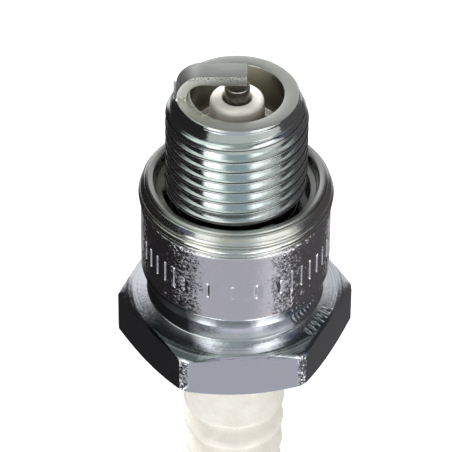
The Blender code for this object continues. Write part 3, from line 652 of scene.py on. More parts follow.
class Surface:
    """A Principled material whose pattern nodes are added one call at a time."""

    def __init__(self, name):
        self.material = bpy.data.materials.new(name)
        self.material.use_nodes = True
        self.tree = self.material.node_tree
        self.shader = self.tree.nodes["Principled BSDF"]
        self.place = self.node("ShaderNodeTexCoord").outputs["Object"]

    def node(self, kind, inputs=None, **settings):
        made = self.tree.nodes.new(kind)
        for key, value in settings.items():
            setattr(made, key, value)
        for key, value in (inputs or {}).items():
            self.feed(made.inputs[key], value)
        return made

    def feed(self, socket, value):
        if isinstance(value, bpy.types.NodeSocket):
            self.tree.links.new(value, socket)
        else:
            socket.default_value = value

    def set(self, **values):
        """Set or link shader sockets, such as Base_Color for Base Color."""
        for key, value in values.items():
            self.feed(self.shader.inputs[key.replace("_", " ")], value)

    def noise(self, size, detail=2.0, roughness=0.5, place=None, distortion=0.0):
        """Noise with features of about a size in metres."""
        made = self.node("ShaderNodeTexNoise", {"Vector": place or self.place, "Scale": 1 / size,
                                                "Detail": detail, "Roughness": roughness,
                                                "Distortion": distortion})
        return made.outputs["Fac"]

    def math(self, operation, a, b=0.0, clamp=False):
        return self.node("ShaderNodeMath", {0: a, 1: b}, operation=operation,
                         use_clamp=clamp).outputs[0]

    def span(self, value, low, high, out_low, out_high):
        """Map a range of values to another, clamped."""
        made = self.node("ShaderNodeMapRange", {"Value": value, "From Min": low, "From Max": high,
                                                "To Min": out_low, "To Max": out_high})
        return made.outputs["Result"]

    def blend(self, factor, a, b):
        """Mix two colours."""
        made = self.node("ShaderNodeMix", data_type="RGBA")
        self.feed(made.inputs[0], factor)
        self.feed(made.inputs[6], a)
        self.feed(made.inputs[7], b)
        return made.outputs[2]

    def radius_and_height(self):
        """Distance from the axis and place along it."""
        parts = self.node("ShaderNodeSeparateXYZ", {0: self.place})
        squares = self.math("ADD", self.math("MULTIPLY", parts.outputs[0], parts.outputs[0]),
                            self.math("MULTIPLY", parts.outputs[1], parts.outputs[1]))
        return self.math("SQRT", squares), parts.outputs[2]

    def lathe_place(self):
        """Coordinates that run out from the axis and along it, so noise there makes turning marks."""
        radius, height = self.radius_and_height()
        joined = self.node("ShaderNodeCombineXYZ", {0: radius, 1: height})
        return joined.outputs[0]

    def turn_from_front(self):
        """Angle about the axis from the side that faces the viewer, in radians either way."""
        parts = self.node("ShaderNodeSeparateXYZ", {0: self.place})
        angle = self.math("ARCTAN2", parts.outputs[1], parts.outputs[0])
        turned = self.math("SUBTRACT", angle, FRONT_ANGLE)
        return self.node("ShaderNodeMath", {0: turned, 1: math.pi, 2: -math.pi}, operation="WRAP").outputs[0]

    def along_crest(self, height):
        """How far above the nearest thread crest a place is, in millimetres, and whether it is on it."""
        parts = self.node("ShaderNodeSeparateXYZ", {0: self.place})
        angle = self.math("ARCTAN2", parts.outputs[1], parts.outputs[0])
        lift = self.math("MULTIPLY", self.math("SUBTRACT", angle, FRONT_ANGLE), PITCH / math.tau)
        rise = self.math("SUBTRACT", self.math("SUBTRACT", height, CREST_Z), lift)
        turns = self.math("MULTIPLY", rise, 1 / PITCH)
        wrapped = self.node("ShaderNodeMath", {0: turns, 1: 0.5, 2: -0.5}, operation="WRAP").outputs[0]
        offset = self.math("MULTIPLY", wrapped, PITCH / MM)
        above = self.span(offset, 0.2, 0.3, 1.0, 0.0)
        below = self.span(offset, -0.2, -0.15, 0.0, 1.0)
        return offset, self.math("MULTIPLY", above, below)

    def facets(self, size, tilt):
        """A normal that leans by a random amount in each small cell, like crystals in a plating."""
        wobble = self.node("ShaderNodeTexNoise", {"Vector": self.place, "Scale": 2 / size})
        shifted = self.node("ShaderNodeVectorMath", {0: wobble.outputs["Color"], 1: (0.0004, 0.0004, 0.0004)},
                            operation="MULTIPLY").outputs[0]
        place = self.node("ShaderNodeVectorMath", {0: self.place, 1: shifted}, operation="ADD").outputs[0]
        cells = self.node("ShaderNodeTexVoronoi", {"Vector": place, "Scale": 1 / size})
        lean = self.node("ShaderNodeVectorMath", {0: cells.outputs["Color"], 1: (1.0, 1.0, 0.25),
                                                  2: (-0.5, -0.5, -0.125)}, operation="MULTIPLY_ADD").outputs[0]
        scaled = self.node("ShaderNodeVectorMath", {0: lean, 3: tilt}, operation="SCALE").outputs[0]
        normal = self.node("ShaderNodeNewGeometry").outputs["Normal"]
        leaned = self.node("ShaderNodeVectorMath", {0: normal, 1: scaled}, operation="ADD").outputs[0]
        return self.node("ShaderNodeVectorMath", {0: leaned}, operation="NORMALIZE").outputs[0]

    def bump(self, height, depth, below=None):
        """Bump of a depth in metres over a 0 to 1 height."""
        made = self.node("ShaderNodeBump", {"Height": height, "Distance": depth, "Strength": 1.0})
        if below is not None:
            self.feed(made.inputs["Normal"], below)
        return made.outputs["Normal"]


def colour(red, green, blue):
    return (red, green, blue, 1.0)


def plated_steel():
    """Zinc-plated steel: bright, faintly lilac on the collar, bluer elsewhere, with crystals in its
    skin. Thread crests are rough from rolling and carry a line of painted shade. The end face is freshly turned,
    with a painted reflection in olive and bright patches by the electrode foot and a painted highlight on its
    outer rim. The bore is olive and darkened with painted shade, and the hexagon keeps the bar's raw skin at its
    corners. Painted shade also darkens the gap under the shoulder, the hexagon's chamfer and slope towards the
    sides and the left of the collar's lower fillet, and a painted reflection lightens the neck."""
    s = Surface("plated_steel")
    radius, height = s.radius_and_height()
    lathe = s.lathe_place()
    lilac, blue, green = colour(0.735, 0.725, 0.75), colour(0.675, 0.70, 0.735), colour(0.68, 0.72, 0.71)
    base = s.blend(s.span(height, -0.4 * MM, 0.4 * MM, 0.0, 1.0), lilac, green)
    base = s.blend(s.span(height, HEX_TOP_Z + 0.4 * MM, HEX_TOP_Z - 0.2 * MM, 0.0, 1.0), base, blue)
    tint = s.noise(2.2 * MM, 3.0, 0.6)
    base = s.blend(s.span(tint, 0.4, 0.65, 0.0, 0.3), base, colour(0.66, 0.70, 0.72))

    stain = s.span(s.noise(1.3 * MM, 4.0, 0.7), 0.58, 0.7, 0.0, 0.4)
    base = s.blend(stain, base, colour(0.70, 0.68, 0.62))
    slanted = s.node("ShaderNodeMapping", {"Vector": s.place, "Rotation": (0, math.radians(38), 0),
                                           "Scale": (0.08, 1.0, 1.0)})
    scratch = s.span(s.noise(0.3 * MM, 2.0, 0.5, slanted.outputs[0]), 0.70, 0.75, 0.0, 0.6)
    base = s.blend(scratch, base, colour(0.86, 0.86, 0.88))

    crest_offset, on_crest = s.along_crest(height)
    on_thread = s.math("MULTIPLY", s.span(height, RELIEF_TOP_Z, RELIEF_TOP_Z + 0.2 * MM, 0.0, 1.0),
                       s.span(radius, ROOT_R + 0.12 * MM, ROOT_R + 0.25 * MM, 0.0, 1.0))
    on_thread = s.math("MULTIPLY", on_thread, s.span(height, END_Z - 0.6 * MM, END_Z - 0.9 * MM, 0.0, 1.0))
    on_crest = s.math("MULTIPLY", on_crest, on_thread)
    # Painted shade: a dark line along the upper edge of each thread crest.
    crest_shade = s.math("ABSOLUTE", s.math("SUBTRACT", crest_offset, CREST_SHADE_HEIGHT / MM))
    crest_shade = s.math("MULTIPLY", s.span(crest_shade, 0.03, 0.06, 1.0, 0.0), on_thread)
    base = s.blend(s.math("MULTIPLY", crest_shade, 0.9), base, colour(0.05, 0.055, 0.045))

    fine = s.noise(0.16 * MM, 3.0, 0.6)
    specks = s.span(fine, 0.62, 0.72, 0.0, 0.35)
    base = s.blend(specks, base, colour(0.34, 0.33, 0.33))
    faced = s.span(height, END_Z - 0.06 * MM, END_Z - 0.01 * MM, 0.0, 1.0)
    face_tone = s.span(s.noise(0.25 * MM, 4.0, 0.7), 0.3, 0.7, 0.0, 1.0)
    face = s.blend(face_tone, colour(0.76, 0.775, 0.71), colour(0.70, 0.72, 0.65))
    turn = s.turn_from_front()
    # Painted reflection: olive and bright patches on the end face beside the electrode foot.
    foot_reflection = s.math("MULTIPLY", s.span(turn, -1.5, -1.1, 0.0, 1.0), s.span(turn, -0.6, -0.3, 1.0, 0.0))
    foot_reflection = s.math("MULTIPLY", foot_reflection, s.span(radius, 5.2 * MM, 4.8 * MM, 0.0, 1.0))
    foot_reflection = s.math("MULTIPLY", foot_reflection, s.span(s.noise(0.5 * MM, 4.0, 0.7), 0.4, 0.6, 0.1, 0.8))
    reflection_patches = s.span(s.noise(0.35 * MM, 3.0, 0.6), 0.44, 0.56, 0.0, 1.0)
    face = s.blend(foot_reflection, face, s.blend(reflection_patches, colour(0.40, 0.44, 0.31), colour(0.98, 1.0, 0.78)))
    # Painted highlight: a light line along the end face's outer rim.
    face = s.blend(s.span(radius, 5.78 * MM, 5.86 * MM, 0.0, 0.5), face, colour(0.92, 0.93, 0.88))
    base = s.blend(faced, base, face)
    # Painted reflection: the neck below the collar is coloured lighter and bluer than the rest of the plating.
    neck_reflection = s.math("MULTIPLY", s.span(height, COLLAR_END_Z - 0.5 * MM, COLLAR_END_Z - 0.9 * MM, 0.0, 1.0),
                  s.span(height, HEX_TOP_Z + 0.25 * MM, HEX_TOP_Z + 0.6 * MM, 0.0, 1.0))
    base = s.blend(neck_reflection, base, colour(0.93, 0.93, 0.99))
    # Painted shade: the recess under the shoulder, inside the gasket, is coloured dark.
    gap_shade = s.math("MULTIPLY", s.span(height, -1.7 * MM, -2.1 * MM, 0.0, 1.0),
                    s.span(radius, COLLAR_R - 0.2 * MM, COLLAR_R - 0.3 * MM, 0.0, 1.0))
    gap_shade = s.math("MULTIPLY", gap_shade, s.span(height, SHOULDER_Z - 0.6 * MM, SHOULDER_Z - 0.5 * MM, 0.0, 1.0))
    base = s.blend(gap_shade, base, colour(0.14, 0.14, 0.14))
    # Painted shade: the hexagon's chamfer and sloped top are darkened away from the front, darker on the left than on
    # the right.
    on_chamfer = s.math("MULTIPLY", s.span(height, HEX_TOP_Z - 0.3 * MM, HEX_TOP_Z - 0.42 * MM, 0.0, 1.0),
                        s.span(height, HEX_TOP_Z - 1.1 * MM, HEX_TOP_Z - 0.95 * MM, 0.0, 1.0))
    aside = s.math("ABSOLUTE", s.math("SUBTRACT", turn, 0.1))
    aside = s.math("MULTIPLY", s.span(aside, 0.25, 0.45, 0.0, 1.0), s.span(aside, 1.0, 1.15, 1.0, 0.0))
    teal_shade = s.blend(s.span(turn, -0.15, 0.15, 0.0, 1.0), colour(0.075, 0.09, 0.095), colour(0.22, 0.25, 0.27))
    base = s.blend(s.math("MULTIPLY", on_chamfer, aside), base, teal_shade)
    on_slope = s.math("MULTIPLY", s.span(height, HEX_TOP_Z - 0.1 * MM, HEX_TOP_Z - 0.3 * MM, 0.0, 1.0),
                      s.span(height, HEX_TOP_Z - 0.55 * MM, HEX_TOP_Z - 0.4 * MM, 0.0, 0.75))
    base = s.blend(s.math("MULTIPLY", on_slope, aside), base, teal_shade)
    # Painted shade: the collar's lower fillet is coloured near black on its left side.
    fillet = s.math("MULTIPLY", s.span(height, COLLAR_END_Z + 0.9 * MM, COLLAR_END_Z + 0.4 * MM, 0.0, 1.0),
                    s.span(height, HEX_TOP_Z + 0.1 * MM, HEX_TOP_Z + 0.25 * MM, 0.0, 1.0))
    fillet = s.math("MULTIPLY", fillet, s.span(turn, -0.32, -0.56, 0.0, 1.0))
    base = s.blend(fillet, base, colour(0.05, 0.05, 0.058))
    ledge = s.math("MULTIPLY", s.span(radius, 4.6 * MM, 4.5 * MM, 0.0, 1.0),
                   s.span(height, SEAT_RING_TOP_Z - 0.3 * MM, SEAT_RING_TOP_Z - 0.2 * MM, 0.0, 1.0))
    base = s.blend(ledge, base, colour(1.0, 0.90, 0.97))
    # Partly the bore's olive plating tint and partly painted shade: the bore above the seat ring is coloured dark
    # olive.
    bore = s.math("MULTIPLY", s.span(radius, 4.6 * MM, 4.5 * MM, 0.0, 1.0),
                  s.span(height, SEAT_RING_TOP_Z + 0.03 * MM, SEAT_RING_TOP_Z + 0.15 * MM, 0.0, 1.0))
    base = s.blend(bore, base, colour(0.31, 0.31, 0.25))

    rough = s.math("ADD", s.span(s.noise(0.35 * MM, 4.0, 0.65), 0.35, 0.7, 0.07, 0.17),
                   s.math("MULTIPLY", specks, 0.2))
    rough = s.math("MAXIMUM", rough, s.math("MULTIPLY", faced, 0.38))
    rough = s.math("MAXIMUM", rough, s.math("MULTIPLY", bore, 0.3))
    rough = s.math("MAXIMUM", rough, s.math("MULTIPLY", fillet, 0.45))
    rough = s.math("MAXIMUM", rough, s.math("MULTIPLY", on_crest, 0.24))

    raw = s.span(radius, CORNER_R * 0.996, CORNER_R * 0.998, 0.0, 1.0)
    collar = s.math("MULTIPLY", s.span(height, SHOULDER_Z + 0.1 * MM, SHOULDER_Z, 0.0, 1.0),
                    s.span(height, COLLAR_END_Z, COLLAR_END_Z + 0.6 * MM, 0.0, 1.0))
    collar = s.math("MULTIPLY", collar, s.span(radius, COLLAR_R - 0.3 * MM, COLLAR_R - 0.2 * MM, 0.0, 1.0))
    away = s.math("ABSOLUTE", s.turn_from_front())
    away = s.math("ADD", away, s.span(s.noise(0.9 * MM, 3.0, 0.65), 0.3, 0.7, -0.12, 0.12))
    near_letters = s.math("MULTIPLY", s.span(away, 0.34, 0.5, 0.03, 0.55), s.span(away, 0.9, 1.35, 1.0, 0.3))
    crowd = s.math("MULTIPLY", near_letters, s.span(s.noise(1.1 * MM, 3.0, 0.65), 0.32, 0.55, 0.4, 1.0))
    rough = s.math("MAXIMUM", rough, s.math("MULTIPLY", s.math("MULTIPLY", collar, crowd), 0.26))
    tilt = s.math("ADD", s.math("MULTIPLY", collar, crowd), s.math("MULTIPLY", raw, 0.9))
    tilt = s.math("ADD", tilt, s.span(on_thread, 0.0, 1.0, 0.05, 0.02))
    tilt = s.math("MULTIPLY", tilt, s.span(faced, 0.0, 1.0, 1.0, 0.3))
    crystals = s.facets(0.14 * MM, tilt)
    turning = s.bump(s.noise(0.09 * MM, 2.0, 0.6, lathe), 0.0012 * MM, crystals)
    on_top = s.math("MULTIPLY", s.span(height, HEX_TOP_Z + 0.05 * MM, HEX_TOP_Z - 0.05 * MM, 0.0, 1.0),
                    s.span(height, HEX_TOP_Z - 1.1 * MM, HEX_TOP_Z - 0.9 * MM, 0.0, 1.0))
    rings = s.math("MULTIPLY", s.noise(0.45 * MM, 4.0, 0.65, lathe), on_top)
    turned = s.bump(rings, 0.035 * MM, turning)
    pebbles = s.math("MULTIPLY", s.noise(0.34 * MM, 2.0, 0.5), s.span(collar, 0.0, 1.0, 0.3, 1.0))
    pebbles = s.math("MULTIPLY", pebbles, s.span(on_thread, 0.0, 1.0, 1.0, 0.25))
    skin = s.bump(pebbles, 0.012 * MM, turned)
    arcs = s.math("MULTIPLY", s.span(s.noise(0.38 * MM, 3.0, 0.6, lathe), 0.54, 0.6, 0.0, 0.5), on_top)
    base = s.blend(arcs, base, colour(0.26, 0.25, 0.31))
    s.set(Base_Color=base, Metallic=1.0, Roughness=rough, Normal=skin)
    return s.material


def nickel_alloy():
    """Drawn and sheared nickel alloy, satin, with long streaks along the bar and rough sheared edges, and a painted
    highlight on the sheared sides towards the bend.
    """
    s = Surface("nickel_alloy")
    turned = s.node("ShaderNodeMapping", {"Vector": s.place, "Rotation": (0, 0, -VIEW_TURN)})
    long_place = s.node("ShaderNodeMapping", {"Vector": turned.outputs[0], "Scale": (0.12, 1.0, 1.0)})
    streak = s.noise(0.22 * MM, 3.0, 0.6, long_place.outputs[0])
    base = s.blend(s.span(streak, 0.35, 0.7, 0.0, 1.0), colour(0.70, 0.72, 0.68), colour(0.60, 0.61, 0.57))
    parts = s.node("ShaderNodeSeparateXYZ", {0: turned.outputs[0]})
    width = s.math("ABSOLUTE", parts.outputs[1])
    edge = s.span(width, BAR_HALF_WIDTH - 0.25 * MM, BAR_HALF_WIDTH - 0.12 * MM, 0.0, 1.0)
    edge = s.math("MULTIPLY", edge, s.span(parts.outputs[2], BAR_HIGH.z - 0.7 * MM, BAR_HIGH.z - 0.25 * MM, 0.1, 1.0))
    pits = s.span(s.noise(0.15 * MM, 4.0, 0.7), 0.5, 0.6, 0.0, 1.0)
    pitted = s.math("MULTIPLY", pits, edge)
    sheared = s.span(width, BAR_HALF_WIDTH - 0.06 * MM, BAR_HALF_WIDTH, 0.0, 1.0)
    shear_tone = s.blend(s.span(streak, 0.4, 0.6, 0.0, 1.0), colour(0.86, 0.83, 0.76), colour(0.62, 0.60, 0.55))
    # Painted highlight: the sheared sides turn warm white towards the bend.
    bend_highlight = s.span(parts.outputs[0], -2.6 * MM, -1.6 * MM, 0.7, 0.0)
    base = s.blend(sheared, base, s.blend(bend_highlight, shear_tone, colour(1.0, 0.95, 0.88)))
    base = s.blend(s.math("MULTIPLY", pitted, 0.95), base, colour(0.09, 0.085, 0.08))
    tip = s.span(parts.outputs[0], BAR_TIP_X - 0.14 * MM, BAR_TIP_X - 0.04 * MM, 0.0, 0.6)
    base = s.blend(tip, base, colour(0.92, 0.91, 0.88))
    at_foot = s.span(parts.outputs[2], END_Z + 0.25 * MM, END_Z + 0.8 * MM, 1.0, 0.0)
    spatter = s.noise(0.32 * MM, 3.0, 0.6)
    base = s.blend(s.math("MULTIPLY", s.span(spatter, 0.48, 0.6, 0.0, 0.8), at_foot), base, colour(0.30, 0.31, 0.23))
    rough = s.span(s.noise(0.3 * MM, 3.0), 0.3, 0.7, 0.36, 0.48)
    rough = s.math("SUBTRACT", rough, s.math("MULTIPLY", at_foot, 0.2))
    grain = s.bump(s.noise(0.12 * MM, 3.0, 0.6), 0.006 * MM)
    grain = s.bump(s.math("MULTIPLY", spatter, at_foot), 0.12 * MM, grain)
    skin = s.bump(streak, 0.0016 * MM, grain)
    skin = s.bump(pitted, 0.006 * MM, skin)
    s.set(Base_Color=base, Metallic=1.0, Roughness=rough, Normal=skin)
    return s.material


def electrode_nickel():
    """The centre electrode's duller, browner nickel, darkened further as painted shade from the bar above it."""
    s = Surface("electrode_nickel")
    lathe = s.lathe_place()
    tone = s.noise(0.4 * MM, 3.0)
    # Partly the nickel's own brown tone and partly painted shade from the bar above.
    base = s.blend(s.span(tone, 0.35, 0.7, 0.0, 1.0), colour(0.22, 0.205, 0.165), colour(0.13, 0.12, 0.10))
    radius, height = s.radius_and_height()
    # Painted highlight: a pale ring round the edge of the electrode's tip.
    below_tip = s.math("ABSOLUTE", s.math("SUBTRACT", height, ELECTRODE_HIGH.z - TIP_HIGHLIGHT_DEPTH))
    tip_highlight = s.math("MULTIPLY", s.span(below_tip, 0.03 * MM, 0.08 * MM, 1.0, 0.0), s.span(tone, 0.4, 0.6, 0.3, 1.0))
    tip_highlight = s.math("MULTIPLY", tip_highlight, s.span(radius, 1.06 * MM, 1.12 * MM, 0.0, 1.0))
    base = s.blend(tip_highlight, base, colour(0.85, 0.82, 0.75))
    rough = s.span(s.noise(0.12 * MM, 3.0), 0.3, 0.7, 0.28, 0.5)
    turning = s.bump(s.noise(0.06 * MM, 2.0, 0.6, lathe), 0.002 * MM)
    s.set(Base_Color=base, Metallic=1.0, Roughness=rough, Normal=turning)
    return s.material


def alumina():
    """Fired alumina: warm white, faintly mottled, with a thin gloss, and brown painted shade on the nose's sides."""
    s = Surface("alumina")
    mottle = s.noise(1.4 * MM, 4.0, 0.6)
    grain = s.noise(0.1 * MM, 2.0)
    base = s.blend(s.span(mottle, 0.35, 0.7, 0.0, 1.0), colour(0.90, 0.875, 0.80), colour(0.82, 0.785, 0.70))
    height = s.radius_and_height()[1]
    turn = s.turn_from_front()
    # Painted shade: the nose's sides below its top are browned, more on the right than on the left.
    nose_side_shade = s.math("MULTIPLY", s.span(turn, -0.7, 0.9, 0.25, 1.0), s.span(turn, 2.2, 2.9, 1.0, 0.0))
    nose_side_shade = s.math("MULTIPLY", nose_side_shade, s.span(height, INSULATOR_HIGH.z - 1.5 * MM, INSULATOR_HIGH.z - 0.35 * MM, 0.9, 0.0))
    nose_side_shade = s.math("MULTIPLY", nose_side_shade, s.span(height, -1.0 * MM, 0.0, 0.0, 1.0))
    base = s.blend(nose_side_shade, base, colour(0.36, 0.32, 0.25))
    rough = s.span(grain, 0.3, 0.7, 0.22, 0.34)
    skin = s.bump(grain, 0.0015 * MM)
    s.set(Base_Color=base, Roughness=rough, Normal=skin, Subsurface_Weight=0.25,
          Subsurface_Scale=0.0012, Subsurface_Radius=(1.0, 0.8, 0.6), IOR=1.6)
    return s.material


def gasket_steel():
    """The rolled ring: smooth warm steel with soft streaks along its folds, with shade painted into one crease and
    onto the inner ledge on one side.
    """
    s = Surface("gasket_steel")
    lathe = s.lathe_place()
    streak = s.noise(0.12 * MM, 3.0, 0.6, lathe)
    tone = s.noise(1.5 * MM, 3.0)
    base = s.blend(s.span(tone, 0.35, 0.65, 0.0, 1.0), colour(0.66, 0.65, 0.60), colour(0.60, 0.61, 0.60))
    rough = s.span(s.noise(0.25 * MM, 4.0, 0.6), 0.35, 0.7, 0.12, 0.26)
    radius, height = s.radius_and_height()
    # Painted shade: the crease between two folds is darkened.
    crease_shade = s.math("MULTIPLY", s.span(radius, 8.74 * MM, 8.78 * MM, 0.0, 1.0),
                    s.span(radius, 8.92 * MM, 8.96 * MM, 1.0, 0.0))
    base = s.blend(s.math("MULTIPLY", crease_shade, 0.6), base, colour(0.20, 0.20, 0.18))
    lip = s.span(height, -0.2 * MM, -0.1 * MM, 0.0, 0.36)
    ledge = s.span(radius, 7.95 * MM, 7.85 * MM, 0.0, 1.0)
    rough = s.math("MAXIMUM", s.math("MAXIMUM", rough, lip), s.math("MULTIPLY", ledge, 0.55))
    turn = s.turn_from_front()
    shaded = s.math("MULTIPLY", s.span(turn, -1.25, -1.4, 0.0, 1.0), s.math("MULTIPLY", ledge, 0.75))
    base = s.blend(shaded, base, colour(0.16, 0.16, 0.12))
    skin = s.bump(streak, 0.0015 * MM, s.bump(s.noise(0.35 * MM, 3.0), 0.006 * MM))
    s.set(Base_Color=base, Metallic=1.0, Roughness=rough, Normal=skin)
    return s.material


def plain_metal(name, light, dark, roughness):
    """A turned metal with fine marks, for pieces away from the light."""
    s = Surface(name)
    lathe = s.lathe_place()
    tone = s.noise(0.8 * MM, 3.0)
    base = s.blend(s.span(tone, 0.35, 0.65, 0.0, 1.0), colour(*light), colour(*dark))
    rough = s.span(s.noise(0.2 * MM, 3.0), 0.3, 0.7, roughness * 0.75, roughness * 1.25)
    marks = s.bump(s.noise(0.08 * MM, 2.0, 0.6, lathe), 0.002 * MM)
    s.set(Base_Color=base, Metallic=1.0, Roughness=rough, Normal=marks)
    return s.material


def dull_solid(name, light, dark, roughness, grain_size):
    """Glass seal, resistor or talc: a grainy, dull solid."""
    s = Surface(name)
    grain = s.noise(grain_size, 4.0, 0.65)
    base = s.blend(s.span(grain, 0.35, 0.65, 0.0, 1.0), colour(*light), colour(*dark))
    rough = s.span(grain, 0.3, 0.7, roughness * 0.85, min(1.0, roughness * 1.1))
    s.set(Base_Color=base, Roughness=rough, Normal=s.bump(grain, 0.01 * MM))
    return s.material


# ---- the object ----

def build_object():
    rng = random.Random(7)
    plated = plated_steel()
    nickel = nickel_alloy()
    nut_metal = plain_metal("nut_steel", (0.66, 0.65, 0.62), (0.58, 0.58, 0.57), 0.22)
    stud_metal = plain_metal("stud_steel", (0.55, 0.55, 0.54), (0.46, 0.46, 0.46), 0.3)
    packing = plain_metal("packing_steel", (0.42, 0.42, 0.42), (0.33, 0.33, 0.33), 0.4)
    add_piece("shell", shell_mesh(), plated, "plug", ["metal_shell"])
    add_piece("ground_bar", bar_mesh(), nickel, "plug", ["ground_electrode"])
    add_piece("bar_weld", weld_mesh(rng), nickel, "plug")
    add_piece("weld_flash", flash_mesh(rng), nickel, "plug")
    add_piece("electrode", electrode_mesh(), electrode_nickel(), "plug",
              ["center_electrode"])
    add_piece("ceramic", insulator_mesh(), alumina(), "plug", ["insulator"])
    add_piece("crush_ring", gasket_mesh(), gasket_steel(), "gasket",
              ["sealing_gasket"], sharp=50.0)
    add_piece("stud", stud_mesh(), stud_metal, "plug", ["terminal_stud"])
    add_piece("nut_barrel", nut_mesh(), nut_metal, "nut", ["terminal_nut"])
    seal = dull_solid("seal_glass", (0.30, 0.24, 0.20), (0.18, 0.15, 0.13), 0.45, 0.3 * MM)
    looks = {
        "electrode_core": plain_metal("copper", (0.75, 0.40, 0.26), (0.62, 0.31, 0.19), 0.35),
        "lower_glass_seal": seal,
        "upper_glass_seal": seal,
        "resistor": dull_solid("resistor_glass", (0.14, 0.14, 0.14), (0.09, 0.09, 0.09), 0.6, 0.2 * MM),
        "talc_filling": dull_solid("talc", (0.90, 0.89, 0.86), (0.82, 0.81, 0.77), 0.9, 0.15 * MM),
        "seat_packing_washer": packing,
        "lower_packing_ring": packing,
        "upper_packing_ring": packing,
    }
    for node, look in looks.items():
        mesh_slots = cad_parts[node].material_slots
        mesh_slots[0].material = look


# ---- stage, light and camera ----

NUT_TRAVEL = 9.0 * MM
FLOOR_SIDE = 8.0
DOME_R = 1.5


def floor():
    """The floor lies where the terminal nut still stands on it when it is off its stud."""
    mesh = bpy.data.meshes.new("floor")
    made = bmesh.new()
    bmesh.ops.create_grid(made, x_segments=1, y_segments=1, size=FLOOR_SIDE / 2)
    bmesh.ops.translate(made, verts=made.verts, vec=(0, 0, cad_low.z - NUT_TRAVEL - 0.01 * MM))
    made.to_mesh(mesh)
    made.free()
    s = Surface("floor_paper")
    tone = s.noise(0.3, 2.0)
    s.set(Base_Color=s.blend(s.span(tone, 0.4, 0.6, 0.0, 1.0), colour(0.93, 0.93, 0.93),
                             colour(0.91, 0.91, 0.91)), Roughness=0.9)
    mesh.materials.append(s.material)
    plane = bpy.data.objects.new("floor", mesh)
    bpy.context.scene.collection.objects.link(plane)
    plane.visible_glossy = False


def mix(a, b, t):
    return tuple(p * (1 - t) + q * t for p, q in zip(a, b))


def patch(value, low, high, soft):
    """1 between two values, 0 outside, with soft edges."""
    return smooth_step(value, low - soft, low + soft) * (1 - smooth_step(value, high - soft, high + soft))


def dome_light(direction):
    """How bright the studio is in one direction, as the metal sees it. The camera is at azimuth 0.
    Paper lies and stands in front, greyer in the middle where the camera is. Black flags stand at
    both sides with navy cloth at their inner edges, the ceiling is dim with a card on the left, and
    the wall behind is pale below 40 degrees."""
    azimuth = math.degrees(math.atan2(direction.x, -direction.y))
    elevation = math.degrees(math.asin(max(-1.0, min(1.0, direction.z))))
    off = abs(azimuth)
    x, y = direction.x, -direction.y
    right = smooth_step(azimuth, -15, 15)
    low = smooth_step(-elevation, 45, 62)

    upright = patch(elevation, 0, 32, 6)
    left_edge = 51 + 15 * low - 4 * upright + 4 * patch(elevation, -30, -12, 5)
    left_edge += 3 * smooth_step(elevation, 32, 45) + 8 * smooth_step(elevation, 44, 52)
    right_edge = 55 + 22 * low + 18 * smooth_step(elevation, -34, -22)
    front = smooth_step(azimuth, -left_edge - 1.5, -left_edge + 1.5)
    front *= 1 - smooth_step(azimuth, right_edge - 1.5, right_edge + 1.5)
    front *= 1 - smooth_step(elevation, 58, 66)
    middle = mix((0.48, 0.57, 0.63), (0.56, 0.60, 0.57), smooth_step(elevation, -8, 4))
    middle = mix(middle, (0.30, 0.33, 0.33), smooth_step(elevation, 36, 50))
    raised = smooth_step(elevation, 38, 44)
    white = smooth_step(off, 13 + 11 * raised, 34 + 6 * raised)
    white *= 1 - patch(elevation, -8, 18, 4) - 0.62 * patch(elevation, 18, 38, 4)
    white *= 1 - 0.75 * smooth_step(elevation, 50, 58)
    paper = mix(middle, (2.6, 2.6, 2.6), white)
    sheet = patch(elevation, -15, 18, 4) * smooth_step(azimuth, 20, 45)
    paper = mix(paper, (0.74, 0.74, 0.72), sheet)
    paper = mix(paper, mix(paper, (0.58, 0.57, 0.57), 0.8), smooth_step(azimuth, 60, 68) * (1 - low))
    table = 1 - smooth_step(abs(elevation + 40), 11, 17)
    paper = mix(paper, mix((0.49, 0.49, 0.54), (0.70, 0.69, 0.73), smooth_step(azimuth, 20, 50)), table)

    zenith = patch(x, -0.16, 0.16, 0.06) * patch(y, -0.25, 0.6, 0.08)
    ceiling = mix((0.055, 0.06, 0.06), (0.36, 0.43, 0.40), zenith)
    ceiling = mix(ceiling, (0.55, 0.57, 0.58), patch(abs(x), 0.07, 0.19, 0.02) * patch(y, -0.52, -0.3, 0.03))
    along = 0.378 + x if x < 0 else 0.378 - x
    card = patch(y - along, -0.13, 0.40 - 0.27 * right, 0.03) * patch(abs(x), 0.16, 0.62, 0.08)
    near = 1 - smooth_step(abs(x), 0.3, 0.55)
    bright = mix((0.80, 0.89, 0.83), (1.30, 1.42, 1.30), near)
    ceiling = mix(ceiling, mix(bright, (0.62, 0.66, 0.64), right), card)

    flag = mix((0.022, 0.020, 0.021), (0.085, 0.080, 0.083), right)
    edge = right_edge if azimuth > 0 else left_edge
    cloth = smooth_step(elevation, 16, 26) * (1 - smooth_step(off, edge + 14, edge + 26))
    navy = mix(flag, (0.10, 0.115, 0.19), cloth)
    side = mix(navy, ceiling, smooth_step(elevation, 40, 50))
    strip = patch(y - along, 0.2, 0.62, 0.05) * patch(-x, 0.42, 0.80, 0.06)
    side = mix(side, (1.0, 1.12, 1.02), strip * smooth_step(elevation, 29, 36))

    pale = mix((0.98, 0.97, 1.0), (0.72, 0.72, 0.74), right)
    ground = mix((0.30, 0.30, 0.30), (0.50, 0.49, 0.50), right)
    wall = mix(ground, pale, smooth_step(elevation, -18, 2))
    wall = mix(wall, ceiling, smooth_step(elevation, 31, 49))
    start = 150 - 6 * smooth_step(elevation, -35, -20) - 14 * smooth_step(elevation, 32, 44)
    behind = smooth_step(off, start - 2, start + 8)
    rest = mix(side, wall, behind)
    return (*mix(rest, paper, front), 1.0)


